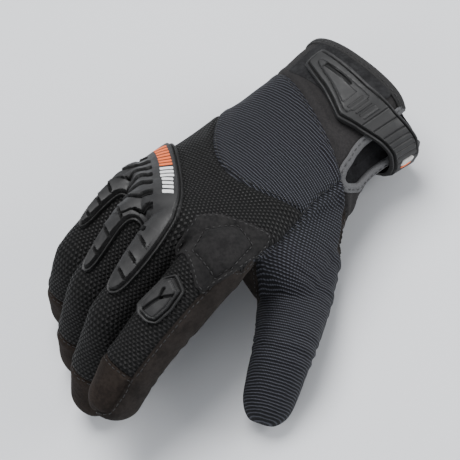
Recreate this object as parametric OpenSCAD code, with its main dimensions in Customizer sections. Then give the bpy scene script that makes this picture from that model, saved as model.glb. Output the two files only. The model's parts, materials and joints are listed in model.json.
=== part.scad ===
// Right-hand riding glove, lying palm down with the fingers half curled.
// The glove is drawn in hand coordinates: origin at the middle of the wrist, +Y toward the
// fingers, +Z out of the back of the hand, thumb on the -X side. stand() then tips the hand so
// that the cuff, the thumb and the fingertips rest on the ground at Z = 0.

/* [Stance] */
// Angle by which the knuckles are raised
hand_pitch = 19.5; // [18:0.5:22]
// Where the wrist's middle stands over the ground: right, forward, up
wrist_at = [21.77, -56.45, 33.45]; // [-60:0.01:60]

/* [Fabric] */
// Thickness of the outer fabric and the padding behind it
wall = 1.6; // [1.4:0.1:1.8]
// Thickness of the lining
lining_t = 0.8; // [0.6:0.1:1]
// Clearance between two parts that turn on each other
gap = 0.3; // [0.25:0.05:0.4]

/* [Fingers: index, middle, ring, little] */
// Distance between the middles of two neighbouring fingers
lane_pitch = 24.5; // [24.4:0.1:25]
// Knuckle joint, forward of the wrist
knuckle_y = [90, 91, 88, 79]; // [76:1:94]
// Knuckle joint, height over the wrist
knuckle_z = [8, 5, -1, -13]; // [-14:0.5:10]
// Length of the first finger bone
root_len = [39, 50, 47, 43]; // [36:1:52]
// Length of the middle finger bone
mid_len = [25, 31, 27, 21]; // [20:1:33]
// Length from the end joint to the middle of the round fingertip
tip_len = [17, 19, 17, 15]; // [14:1:20]
// Bend at the knuckle joint at rest
root_bend = [34, 35, 36, 27]; // [26:1:38]
// Bend at the middle joint at rest
mid_bend = [7, 33, 35, 46]; // [6:1:48]
// Bend at the end joint at rest
tip_bend = [13, 16, 17, 15]; // [12:1:18]
// Outer radius at the knuckle, middle joint, end joint and tip
stall_r = [12, 11.8, 11.4, 11]; // [10.5:0.1:12.1]

/* [Joint travel] */
// Degrees by which the knuckle, middle and end joint can bend further
flex_more = [42, 50, 30]; // [20:1:52]
// Degrees by which the knuckle, middle and end joint can straighten
extend_by = [26, 30, 12]; // [5:1:32]
// The same for the index finger, which is almost straight at its middle joint
index_extend_by = [26, 6, 12]; // [5:1:30]

/* [Thumb] */
// Root of the thumb in the heel of the hand
thumb_0 = [-27, 16, -21]; // [-60:0.5:60]
// Knuckle joint of the thumb
thumb_1 = [-53, 49, -32]; // [-60:0.5:60]
// End joint of the thumb
thumb_2 = [-74, 74.5, -34]; // [-80:0.5:80]
// Middle of the round thumb tip
thumb_3 = [-82, 92.5, -56]; // [-90:0.5:95]
// Outer radius at those four places
thumb_r = [19, 15.5, 13.4, 11]; // [10:0.5:20]
// Degrees by which the thumb's two joints can bend further
thumb_flex = [25, 35]; // [10:1:40]
// Degrees by which the thumb's two joints can straighten
thumb_extend = [15, 30]; // [5:1:35]

/* [Cuff and strap] */
// Rim of the cuff, behind the wrist
rim_y = -47; // [-49:1:-45]
// How far forward the notch in the cuff reaches
notch_tip_y = 8; // [5:1:9]
// Height of the strap's fabric over the cuff
strap_lift = 2.9; // [2.8:0.1:3.2]
// Thickness of the strap's fabric
strap_t = 1.6; // [1.4:0.1:1.8]
// Thickness of the moulded rubber on the strap
grip_t = 2.2; // [2:0.1:2.6]

/* [Guards] */
// Thickness of the foam under the knuckle guard
foam_t = 2; // [1.5:0.1:2.2]
// Thickness of the moulded knuckle guard
guard_t = 3.2; // [2.8:0.1:3.4]
// Thickness of the moulded prongs on the fingers
prong_t = 2.8; // [2.4:0.1:3]

/* [Hidden] */

INDEX = 0;
MIDDLE = 1;
RING = 2;
LITTLE = 3;
BACK = 1;
PALM = -1;

rib_cloth = [0.10, 0.10, 0.12];
mesh_cloth = [0.07, 0.07, 0.07];
suede = [0.13, 0.12, 0.11];
rubber = [0.20, 0.20, 0.20];
neoprene = [0.14, 0.13, 0.13];
tape = [0.34, 0.34, 0.34];
foam = [0.25, 0.25, 0.25];
lining_cloth = [0.09, 0.09, 0.10];

far = 80;                      // longer than any part that a cutter has to reach through
finger_x = [for (i = [0:3]) (i - 1.5) * lane_pitch];
little_scale = 0.94;
layer_gap = 0.3;               // between two curved layers that lie on each other

// Sections of the hand from the rim of the cuff to the knuckles, as [y, value] pairs
half_width = [[-47, 41], [-28, 39.5], [-10, 37.5], [10, 40], [35, 45], [60, 49], [95, 50]];
half_height = [[-47, 28], [-28, 27.5], [-10, 26], [10, 23], [35, 20], [60, 17.5], [95, 15.5]];
centre_z = [[-47, 11.2], [-28, 9.5], [-10, 6.5], [10, 3.5], [35, 1.5], [60, 0], [95, 0]];
arch_part = [[-47, 0], [0, 0.1], [60, 0.8], [90, 1]];
squareness = 0.85;

// The palm arches across its width: the index side is higher than the little finger side
function arch(x) = -2.1 - 0.267 * x + 4.5 * (1 - pow(x / 38, 2));

function rounded(v) = sign(v) * pow(abs(v), squareness);

// A point of the glove's skin: turn is the angle round the hand from the little finger side,
// y is along the hand and d is the height over the outer face of the fabric
function skin(turn, y, d) =
    let (x = (lookup(y, half_width) + d) * rounded(cos(turn)))
    [x, y, lookup(y, centre_z) + arch(x) * lookup(y, arch_part)
           + (lookup(y, half_height) + d) * rounded(sin(turn))];

// Slopes of the two planes between which a joint's neighbours are cut, back and palm side
function back_slope(bend, extend) = tan((bend - extend) / 2);
function palm_slope(bend, flex) = tan((bend + flex) / 2);

function extend_of(i) = i == INDEX ? index_extend_by : extend_by;

// How far forward the hand's own fabric may reach in finger i's lane, at height z
function lane_end(i, z) =
    let (up = z - knuckle_z[i])
    knuckle_y[i] - gap + up * (up > 0 ? back_slope(root_bend[i], extend_of(i)[0])
                                      : palm_slope(root_bend[i], flex_more[0]));

function hand_end(p) =
    min([for (i = [0:3])
         if (abs(p[0] - finger_x[i]) < lane_pitch / 2 + 1
             || (i == INDEX && p[0] < finger_x[i]) || (i == LITTLE && p[0] > finger_x[i]))
         lane_end(i, p[2])]);

knuckle_line_y = 80;
function end_y(turn, d) = hand_end(skin(turn, knuckle_line_y, d));

// Seams across the back of the hand
function cuff_seam_y(turn) = -3 - 0.28 * skin(turn, 0, 0)[0];
function mesh_seam_y(turn) = 54 - 0.0135 * pow(skin(turn, 50, 0)[0] + 10, 2);

// Edges of the notch in the cuff, which is widest at the rim and round at its tip
notch_back = 151;
notch_palm = 188;
notch_mid = 168;
function notch_open(y) = sqrt(max(0, 1 - pow((y - rim_y) / (notch_tip_y - rim_y), 4)));
function notch_back_edge(y) = notch_mid + (notch_back - notch_mid) * notch_open(y);
function notch_palm_edge(y) = notch_mid + (notch_palm - notch_mid) * notch_open(y);

// A closed solid between two heights over a surface: f(u, v, d) gives its points for u and v
// from 0 to 1 and d either low or high
module thick_sheet(f, low, high, nu, nv) {
    row = nv + 1;
    side = (nu + 1) * row;
    points = [for (d = [low, high]) for (a = [0:nu]) for (b = [0:nv]) f(a / nu, b / nv, d)];
    function at(a, b, top) = top * side + a * row + b;
    function two(p, q, r, s) = [[p, q, r], [p, r, s]];
    faces = [
        for (a = [0:nu - 1]) for (b = [0:nv - 1]) each concat(
            two(at(a, b, 0), at(a, b + 1, 0), at(a + 1, b + 1, 0), at(a + 1, b, 0)),
            two(at(a, b, 1), at(a + 1, b, 1), at(a + 1, b + 1, 1), at(a, b + 1, 1))),
        for (a = [0:nu - 1]) each concat(
            two(at(a, 0, 0), at(a + 1, 0, 0), at(a + 1, 0, 1), at(a, 0, 1)),
            two(at(a, nv, 0), at(a, nv, 1), at(a + 1, nv, 1), at(a + 1, nv, 0))),
        for (b = [0:nv - 1]) each concat(
            two(at(0, b, 0), at(0, b, 1), at(0, b + 1, 1), at(0, b + 1, 0)),
            two(at(nu, b, 0), at(nu, b + 1, 0), at(nu, b + 1, 1), at(nu, b, 1)))
    ];
    polyhedron(points, faces, convexity = 6);
}

function mix(a, b, t) = a + (b - a) * t;

// A sheet on the hand between two turns and two places along it, which may depend on each other
module hand_sheet(turn_from, turn_to, y_from, y_to, low, high, nu = 30, nv = 8) {
    thick_sheet(function(u, v, d)
        let (turn = mix(turn_from, turn_to, u))
        skin(turn, mix(y_from(turn), y_to(turn, d), v), d), low, high, nu, nv);
}

// A sheet of the cuff, where the turns depend on the place along the hand
module cuff_sheet(turn_from, turn_to, y_from, y_to, low, high, nu = 24, nv = 8) {
    thick_sheet(function(u, v, d)
        let (y0 = mix(y_from, y_to, v), turn = mix(turn_from(y0), turn_to(y0), u),
             y = min(y0, cuff_seam_y(turn) - 0.1))
        skin(turn, y, d), low, high, nu, nv);
}

module stand() {
    translate(wrist_at) rotate([hand_pitch, 0, 0]) children();
}

// Everything forward of a joint, and the gap to it, as seen from the part behind the joint
module joint_cut(bend, extend, flex, width = 4 * far) {
    rotate([90, 0, 90])
        linear_extrude(width, center = true)
            polygon([[-gap, 0], [-gap + far * back_slope(bend, extend), far], [2 * far, far],
                     [2 * far, -far], [-gap - far * palm_slope(bend, flex), -far]]);
}

module fore_cut(bend, extend, flex) joint_cut(bend, extend, flex);
module aft_cut(bend, extend, flex) mirror([0, 1, 0]) joint_cut(bend, extend, flex);

// The frame of finger i's bone k: +Y along the bone, +Z out of its back
module finger_frame(i, k) {
    bends = [root_bend[i], mid_bend[i], tip_bend[i]];
    lens = [root_len[i], mid_len[i]];
    translate([finger_x[i], knuckle_y[i], knuckle_z[i]])
        rotate([-bends[0], 0, 0])
            if (k == 0) children();
            else translate([0, lens[0], 0]) rotate([-bends[1], 0, 0])
                if (k == 1) children();
                else translate([0, lens[1], 0]) rotate([-bends[2], 0, 0]) children();
}

module cone_y(r1, r2, y1, y2) {
    translate([0, y1, 0]) rotate([-90, 0, 0]) cylinder(h = y2 - y1, r1 = r1, r2 = r2, $fn = 48);
}

// A tube along a bone that carries on a little past both joints
over = 4;
module bone_tube(r1, r2, len) {
    slope = (r2 - r1) / len;
    difference() {
        cone_y(r1 - slope * over, r1 + slope * (len + over), -over, len + over);
        cone_y(r1 - slope * over - wall, r1 + slope * (len + over) - wall, -over - 0.1, len + over + 0.1);
    }
}

// The last tube of a finger, with a round end
module end_tube(r1, r2, len) {
    slope = (r2 - r1) / len;
    steps = 6;
    function cap(r) = [for (n = [0:steps]) [r * cos(90 * n / steps), len + r * sin(90 * n / steps)]];
    rotate([-90, 0, 0]) rotate_extrude($fn = 48)
        polygon(concat([[r1 - slope * over, -over]], cap(r2),
                       [for (n = [steps:-1:0]) cap(r2 - wall)[n]], [[r1 - slope * over - wall, -over]]));
}

// One half of the tube: the back or the palm of a finger, or all of it
module half_of(side) {
    intersection() {
        children();
        translate([-far, -far, side == BACK ? 0 : -2 * far]) cube([2 * far, 4 * far, 2 * far]);
    }
}

function stall_scale(i) = i == LITTLE ? little_scale : 1;

// The fabric over finger i's bone k, cut back at the joints by the travel that they have
module stall(i, k) {
    lens = [root_len[i], mid_len[i], tip_len[i]];
    bends = [root_bend[i], mid_bend[i], tip_bend[i]];
    s = stall_scale(i);
    difference() {
        if (k < 2) bone_tube(stall_r[k] * s, stall_r[k + 1] * s, lens[k]);
        else end_tube(stall_r[2] * s, stall_r[3] * s, lens[2]);
        aft_cut(bends[k], extend_of(i)[k], flex_more[k]);
        if (k < 2) translate([0, lens[k], 0])
            fore_cut(bends[k + 1], extend_of(i)[k + 1], flex_more[k + 1]);
    }
}

module finger_back(i, k) {
    color(k == 2 ? suede : mesh_cloth) stand() finger_frame(i, k) half_of(BACK) stall(i, k);
}

module finger_palm(i, k) {
    color(suede) stand() finger_frame(i, k) half_of(PALM) stall(i, k);
}

module finger_tip(i) {
    color(suede) stand() finger_frame(i, 2) stall(i, 2);
}

// A strip of moulded rubber that follows the back of finger i's first bone
module stall_strip(i, width, from, to) {
    s = stall_scale(i);
    slope = (stall_r[1] - stall_r[0]) * s / root_len[i];
    r = stall_r[0] * s;
    intersection() {
        difference() {
            cone_y(r + prong_t - slope * over, r + prong_t + slope * root_len[i], -over, root_len[i]);
            cone_y(r + 0.05 - slope * over, r + 0.05 + slope * root_len[i], -over - 0.1,
                   root_len[i] + 0.1);
            aft_cut(root_bend[i], extend_of(i)[0], flex_more[0]);
        }
        linear_extrude(far) {
            translate([-width / 2, from]) square([width, to - from - width / 2]);
            translate([0, to - width / 2]) circle(d = width, $fn = 48);
        }
    }
}

// Raised lugs along a prong
module prong_lugs(i, from, to, count, width) {
    s = stall_scale(i);
    pitch = (to - from) / count;
    for (n = [0:count - 1])
        translate([0, from + (n + 0.5) * pitch, stall_r[1] * s + prong_t - 0.6])
            cylinder(h = 1.2, d = width, $fn = 32);
}

module prong(i, width, to, lugs) {
    color(rubber) stand() finger_frame(i, 0) union() {
        stall_strip(i, width, 0, to);
        prong_lugs(i, 8, to - width / 2, lugs, width * 0.45);
    }
}

module middle_prong() { prong(MIDDLE, 13, 46, 3); }
module ring_prong() { prong(RING, 11, 44, 3); }
module little_prong() { prong(LITTLE, 9, 36, 2); }

module index_guard() {
    length = 21;
    width = 13;
    from = 15;
    color(rubber) stand() finger_frame(INDEX, 0) intersection() {
        difference() {
            cone_y(stall_r[0] + prong_t, stall_r[1] + prong_t, 0, root_len[INDEX]);
            cone_y(stall_r[0] + 0.05, stall_r[1] + 0.05, -0.1, root_len[INDEX] + 0.1);
        }
        linear_extrude(far)
            polygon([[-width / 2 + 3, from], [width / 2 - 3, from], [width / 2, from + 5],
                     [width / 2, from + length - 4], [width / 2 - 4, from + length],
                     [-width / 2 + 4, from + length], [-width / 2, from + length - 4],
                     [-width / 2, from + 5]]);
    }
}

// The thumb: a frame at one of its points with +Y toward the next and +X along the hinge
function unit(v) = v / norm(v);
thumb_hinge = unit(cross(thumb_2 - thumb_1, thumb_3 - thumb_2));

module thumb_frame(from, to) {
    y = unit(to - from);
    x = -unit(thumb_hinge - (thumb_hinge * y) * y);
    z = cross(x, y);
    multmatrix([[x[0], y[0], z[0], from[0]], [x[1], y[1], z[1], from[1]],
                [x[2], y[2], z[2], from[2]], [0, 0, 0, 1]]) children();
}

function angle_between(a, b) = acos(unit(a) * unit(b));
thumb_mid_bend = angle_between(thumb_2 - thumb_1, thumb_3 - thumb_2);
thumb_root_bend = 0;

module thumb_root() {
    thumb_frame(thumb_1, thumb_2) difference() {
        bone_tube(thumb_r[1], thumb_r[2], norm(thumb_2 - thumb_1));
        aft_cut(thumb_root_bend, thumb_extend[0], thumb_flex[0]);
        translate([0, norm(thumb_2 - thumb_1), 0])
            fore_cut(thumb_mid_bend, thumb_extend[1], thumb_flex[1]);
    }
}

module thumb_tip() {
    thumb_frame(thumb_2, thumb_3) difference() {
        end_tube(thumb_r[2], thumb_r[3], norm(thumb_3 - thumb_2));
        aft_cut(thumb_mid_bend, thumb_extend[1], thumb_flex[1]);
    }
}

// Keeps the half of a thumb part on one side of its bone
module thumb_half(from, to, side) {
    intersection() {
        children();
        thumb_frame(from, to)
            translate([-far, -far, side == BACK ? 0 : -2 * far]) cube([2 * far, 4 * far, 2 * far]);
    }
}

module thumb_root_back() { color(rib_cloth) stand() thumb_half(thumb_1, thumb_2, BACK) thumb_root(); }
module thumb_root_palm() { color(suede) stand() thumb_half(thumb_1, thumb_2, PALM) thumb_root(); }
module thumb_tip_back() { color(rib_cloth) stand() thumb_half(thumb_2, thumb_3, BACK) thumb_tip(); }
module thumb_tip_palm() { color(suede) stand() thumb_half(thumb_2, thumb_3, PALM) thumb_tip(); }

// The way of the thumb out of the palm
module thumb_way(d, to = 0) {
    thumb_frame(thumb_0, thumb_1) {
        cone_y(thumb_r[0] + d, thumb_r[1] + d, 0, norm(thumb_1 - thumb_0) + to);
        sphere(r = thumb_r[0] + d, $fn = 48);
    }
}

module thumb_base() {
    difference() {
        thumb_way(0, over);
        thumb_way(-wall, over + 0.2);
        hand_core();
        thumb_frame(thumb_1, thumb_2) fore_cut(thumb_root_bend, thumb_extend[0], thumb_flex[0]);
    }
}

module thumb_base_rib() { color(rib_cloth) stand() thumb_half(thumb_0, thumb_1, BACK) thumb_base(); }
module thumb_base_palm() { color(suede) stand() thumb_half(thumb_0, thumb_1, PALM) thumb_base(); }

// Block of space inside the palm's and the back's fabric, from which the thumb's fabric starts
module hand_core() {
    roof = 30;
    thick_sheet(function(u, v, e)
        let (y = mix(rim_y - 2, knuckle_line_y, v), p = skin(180 + 180 * u, y, 0.05))
        e == 0 ? [p[0], y, roof] : p, 0, 1, 36, 10);
}

module back_rib_panel() {
    color(rib_cloth) stand()
        hand_sheet(0, 180, function(t) cuff_seam_y(t), function(t, d) mesh_seam_y(t), -wall, 0, 30, 6);
}

module back_mesh_panel() {
    color(mesh_cloth) stand()
        hand_sheet(0, 180, function(t) mesh_seam_y(t), function(t, d) end_y(t, d), -wall, 0, 48, 6);
}

module palm_panel() {
    color(suede) stand() difference() {
        hand_sheet(180, 360, function(t) cuff_seam_y(t), function(t, d) end_y(t, d), -wall, 0, 48, 9);
        thumb_way(-wall);
    }
}

// Padded patch over the web between thumb and index finger
module web_patch() {
    color(suede) stand()
        hand_sheet(112, 172, function(t) 66 - 0.15 * (t - 112), function(t, d) 84, layer_gap, 1.5, 14, 4);
}

module web_foam() {
    color(foam) stand()
        hand_sheet(120, 158, function(t) 67, function(t, d) 80, 1.5 + layer_gap, 3.4, 10, 3);
}

module palm_patch() {
    color(suede) stand()
        hand_sheet(248, 322, function(t) 44, function(t, d) 68, layer_gap, 1.5, 14, 4);
}

module heel_pad() {
    color(suede) stand()
        hand_sheet(296, 344, function(t) 4, function(t, d) 36, 2.2, 3.4, 12, 5);
}

module heel_pad_foam() {
    color(foam) stand()
        hand_sheet(298, 342, function(t) 6, function(t, d) 34, layer_gap, 1.9, 12, 5);
}

// Outline of the knuckle guard over the back of the hand
module guard_outline(inset = 0) {
    polygon([[43 - inset, 54 + inset], [16, 63.5 + inset], [2, 73 + inset], [-9 + inset, 84 + inset],
             [-18 + inset, 95], [-18 + inset, 110], [47 - inset, 110], [47 - inset, 62]]);
}

module guard_layer(low, high, inset = 0) {
    intersection() {
        hand_sheet(12, 122, function(t) 48, function(t, d) end_y(t, d), low, high, 44, 6);
        linear_extrude(far) guard_outline(inset);
    }
}

module knuckle_foam() {
    color(foam) stand() guard_layer(layer_gap, foam_t, 2);
}

module knuckle_guard() {
    color(rubber) stand() difference() {
        guard_layer(foam_t + 0.1, foam_t + guard_t);
        for (n = [0:6])
            translate([-4 + 7 * n, 88 - 3.2 * n, -10]) rotate([0, 0, -62])
                translate([-5.5, -1.1, 0]) cube([11, 2.2, far]);
    }
}

// Coloured strips on the smooth band of the guard
module guard_stripe(from, to) {
    intersection() {
        hand_sheet(20, 110, function(t) 50, function(t, d) 86,
                   foam_t + guard_t + 0.1, foam_t + guard_t + 0.6, 40, 4);
        linear_extrude(far)
            translate([-9, 84]) rotate([0, 0, -31]) translate([0, 3.5]) for (n = [from:to])
                translate([4.6 * n, 0]) square([2.6, 6]);
    }
}

module guard_stripe_orange() { color("orangered") stand() guard_stripe(7, 10); }
module guard_stripe_white() { color("white") stand() guard_stripe(2, 6); }

module cuff_back_panel() {
    color(neoprene) stand()
        cuff_sheet(function(y) 0, function(y) notch_back_edge(y), rim_y, notch_tip_y, -wall, 0, 30, 12);
}

module cuff_palm_panel() {
    color(suede) stand()
        cuff_sheet(function(y) notch_palm_edge(y), function(y) 360, rim_y, notch_tip_y,
                   -wall, 0, 30, 12);
}

// Tape folded over the rim, all round but for the notch
module cuff_binding() {
    color(tape) stand() for (edge = [[0.5, notch_back - 0.5], [notch_palm + 0.5, 359.5]])
        thick_sheet(function(u, v, d)
            let (turn = mix(edge[0], edge[1], u)) skin(turn, rim_y - 0.1 - 1.4 * v, d),
            -wall - 0.8, 0.8, 30, 1);
}

// Tape round the notch
module notch_binding() {
    half_w = 1.6;
    color(tape) stand() thick_sheet(function(u, v, d)
        let (a = mix(-84, 84, u), open = notch_open(rim_y + 8) * sin(a),
             y = rim_y + 8 + (notch_tip_y - rim_y - 9) * cos(a),
             turn = notch_mid + (a < 0 ? notch_mid - notch_back : notch_palm - notch_mid) * open,
             out = mix(-half_w, half_w, v))
        skin(turn + out * 1.2 * sin(a), min(y + out * cos(a), notch_tip_y + 1), d),
        layer_gap, 1.1, 36, 1);
}

module wrist_elastic() {
    color(rubber) stand() thick_sheet(function(u, v, d)
        skin(mix(206, 338, u), mix(-14, -6, v), d), -wall - layer_gap - 1.2, -wall - layer_gap, 24, 1);
}

module loop_patch() {
    color(lining_cloth) stand() thick_sheet(function(u, v, d)
        skin(mix(48, 128, u), mix(-40, -12, v), d), layer_gap, 1.3, 20, 3);
}

module back_lining() {
    color(lining_cloth) stand() thick_sheet(function(u, v, d)
        let (turn = mix(6, 148, u)) skin(turn, mix(rim_y + 3, 78, v), d),
        -wall - layer_gap - lining_t, -wall - layer_gap, 26, 10);
}

module palm_lining() {
    color(lining_cloth) stand() difference() {
        thick_sheet(function(u, v, d) skin(mix(196, 354, u), mix(0, 62, v), d),
                    -wall - layer_gap - lining_t, -wall - layer_gap, 26, 7);
        thumb_way(-wall - 0.5);
    }
}

// Plain care label sewn inside the cuff
module care_label() {
    color("white") stand() thick_sheet(function(u, v, d)
        skin(mix(262, 282, u), mix(-38, -18, v), d), -wall - 0.9, -wall - layer_gap, 5, 2);
}

// The closing strap: its root is sewn to the palm side of the cuff, it crosses the notch and
// its tip closes on the back of the cuff. y_low and y_high are its edges.
strap_from = 232;
root_hinge = 204;
tip_hinge = 138;
strap_to = 60;
function strap_low(turn) = lookup(turn, [[60, -33], [72, -35], [138, -37], [170, -41], [232, -44]]);
function strap_high(turn) = lookup(turn, [[60, -24], [72, -19], [118, -8.5], [145, -15], [170, -21],
                                          [232, -24]]);

module strap_sheet(from, to, low, high, inset = 0, nu = 16) {
    thick_sheet(function(u, v, d)
        let (turn = mix(from, to, u))
        skin(turn, mix(strap_low(turn) + inset, strap_high(turn) - inset, v), d), low, high, nu, 4);
}

strap_top = strap_lift + strap_t;
hinge_space = 0.5;             // degrees of turn left free at each of the strap's hinges

module strap_root() {
    color(neoprene) stand()
        strap_sheet(strap_from, root_hinge + hinge_space, layer_gap, strap_top, 0, 8);
}

module strap_label() {
    color("white") stand() strap_sheet(216, 210, strap_top + 0.1, strap_top + 0.6, 5, 2);
}

module strap_band() {
    color(neoprene) stand()
        strap_sheet(root_hinge - hinge_space, tip_hinge + hinge_space, strap_lift, strap_top);
}

module strap_band_grip() {
    color(rubber) stand()
        strap_sheet(root_hinge - 6, tip_hinge + 3, strap_top + 0.15, strap_top + grip_t - 0.4, 1);
}

module strap_tip() {
    color(neoprene) stand()
        strap_sheet(tip_hinge - hinge_space, strap_to, strap_lift, strap_top, 0, 20);
}

module strap_tip_grip() {
    color(rubber) stand()
        strap_sheet(tip_hinge - 3, strap_to + 1, strap_top + 0.15, strap_top + grip_t, 1, 20);
}

module hook_patch() {
    color(lining_cloth) stand()
        strap_sheet(tip_hinge - 14, strap_to + 4, 1.8, strap_lift - layer_gap, 2.5, 14);
}

back_rib_panel();
back_mesh_panel();
palm_panel();
thumb_base_rib();
thumb_base_palm();
web_patch();
web_foam();
palm_patch();
heel_pad();
heel_pad_foam();
knuckle_foam();
knuckle_guard();
guard_stripe_orange();
guard_stripe_white();
cuff_back_panel();
cuff_palm_panel();
cuff_binding();
notch_binding();
wrist_elastic();
loop_patch();
back_lining();
palm_lining();
care_label();
strap_root();
strap_label();
strap_band();
strap_band_grip();
strap_tip();
strap_tip_grip();
hook_patch();
finger_back(INDEX, 0);  // index_root_back
finger_palm(INDEX, 0);  // index_root_palm
finger_back(INDEX, 1);  // index_mid_back
finger_palm(INDEX, 1);  // index_mid_palm
finger_back(INDEX, 2);  // index_tip_back
finger_palm(INDEX, 2);  // index_tip_palm
index_guard();
finger_back(MIDDLE, 0);  // middle_root_back
finger_palm(MIDDLE, 0);  // middle_root_palm
finger_back(MIDDLE, 1);  // middle_mid_back
finger_palm(MIDDLE, 1);  // middle_mid_palm
finger_tip(MIDDLE);  // middle_tip
middle_prong();
finger_back(RING, 0);  // ring_root_back
finger_palm(RING, 0);  // ring_root_palm
finger_back(RING, 1);  // ring_mid_back
finger_palm(RING, 1);  // ring_mid_palm
finger_tip(RING);  // ring_tip
ring_prong();
finger_back(LITTLE, 0);  // little_root_back
finger_palm(LITTLE, 0);  // little_root_palm
finger_back(LITTLE, 1);  // little_mid_back
finger_palm(LITTLE, 1);  // little_mid_palm
finger_tip(LITTLE);  // little_tip
little_prong();
thumb_root_back();
thumb_root_palm();
thumb_tip_back();
thumb_tip_palm();
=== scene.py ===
import json
import math

import bpy
import numpy as np
from mathutils import Matrix, Vector, noise
from mathutils.bvhtree import BVHTree
from mathutils.geometry import delaunay_2d_cdt
from mathutils.kdtree import KDTree


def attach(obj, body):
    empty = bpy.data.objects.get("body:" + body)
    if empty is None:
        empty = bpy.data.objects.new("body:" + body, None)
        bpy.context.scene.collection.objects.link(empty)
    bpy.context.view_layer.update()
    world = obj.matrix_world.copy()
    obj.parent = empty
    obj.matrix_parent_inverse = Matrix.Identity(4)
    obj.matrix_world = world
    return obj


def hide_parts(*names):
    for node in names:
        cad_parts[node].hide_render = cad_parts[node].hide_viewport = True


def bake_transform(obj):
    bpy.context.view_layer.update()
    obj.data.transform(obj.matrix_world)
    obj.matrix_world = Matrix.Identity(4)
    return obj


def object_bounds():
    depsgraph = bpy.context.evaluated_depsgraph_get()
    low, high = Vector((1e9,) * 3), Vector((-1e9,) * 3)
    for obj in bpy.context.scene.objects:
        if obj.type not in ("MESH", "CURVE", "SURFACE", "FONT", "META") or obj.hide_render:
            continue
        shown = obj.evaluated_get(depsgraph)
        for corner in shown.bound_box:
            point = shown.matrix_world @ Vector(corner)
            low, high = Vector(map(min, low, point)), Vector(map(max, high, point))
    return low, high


# A right-hand riding glove. Shapes are worked out in hand coordinates, in millimetres: origin at
# the middle of the wrist, +Y toward the fingers, +Z out of the back of the hand, thumb on -X.
# to_row() turns them into the frame's metres.

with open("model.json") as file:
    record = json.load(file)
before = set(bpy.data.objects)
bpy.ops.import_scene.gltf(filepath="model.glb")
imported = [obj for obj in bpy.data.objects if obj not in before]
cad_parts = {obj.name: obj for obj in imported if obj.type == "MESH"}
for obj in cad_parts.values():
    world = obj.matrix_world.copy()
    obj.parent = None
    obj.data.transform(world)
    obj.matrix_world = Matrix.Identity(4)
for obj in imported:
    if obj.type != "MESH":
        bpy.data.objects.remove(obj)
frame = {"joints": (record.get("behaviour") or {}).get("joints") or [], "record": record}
cad_box = [list(corner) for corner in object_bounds()]
joints = {j["name"]: j for j in frame["joints"]}

# ---------------------------------------------------------------- hand coordinates

RIM_Y = -47.0                # rim of the cuff
CUFF_MOUTH = (0, RIM_Y - 1, 11.2)

opening = frame["record"]["mounts"][0]
hand_y = -np.array(opening["axis"])
hand_x = np.array([1.0, 0.0, 0.0])
HAND = np.stack([hand_x, hand_y, np.cross(hand_x, hand_y)], axis=1)
WRIST = np.array(opening["pos_m"]) * 1000 - HAND @ np.array(CUFF_MOUTH)


def to_row(points):
    """Hand coordinates in millimetres to the row frame in metres."""
    return (np.asarray(points, float) @ HAND.T + WRIST) / 1000


def to_row_direction(v):
    return HAND @ np.asarray(v, float)


def joint_at(name):
    return HAND.T @ (np.array(joints[name]["pos_m"]) * 1000 - WRIST)


def unit(v):
    v = np.asarray(v, float)
    return v / np.maximum(np.linalg.norm(v, axis=-1, keepdims=True), 1e-12)


def smoothstep(t):
    t = np.clip(t, 0, 1)
    return t * t * (3 - 2 * t)


def mix(a, b, t):
    return a + (b - a) * t


def bell(x, at, width):
    return np.exp(-((x - at) / width) ** 2)


def cosine(x, pitch):
    return np.cos(x * 2 * math.pi / pitch)


# ---------------------------------------------------------------- the skeleton

FINGERS = ["index", "middle", "ring", "little"]
END_LENGTH = {"index": 29, "middle": 30.5, "ring": 28.5, "little": 25.5, "thumb": 40.5}
END_BEND = {"index": 13, "middle": 16, "ring": 17, "little": 15}


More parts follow.
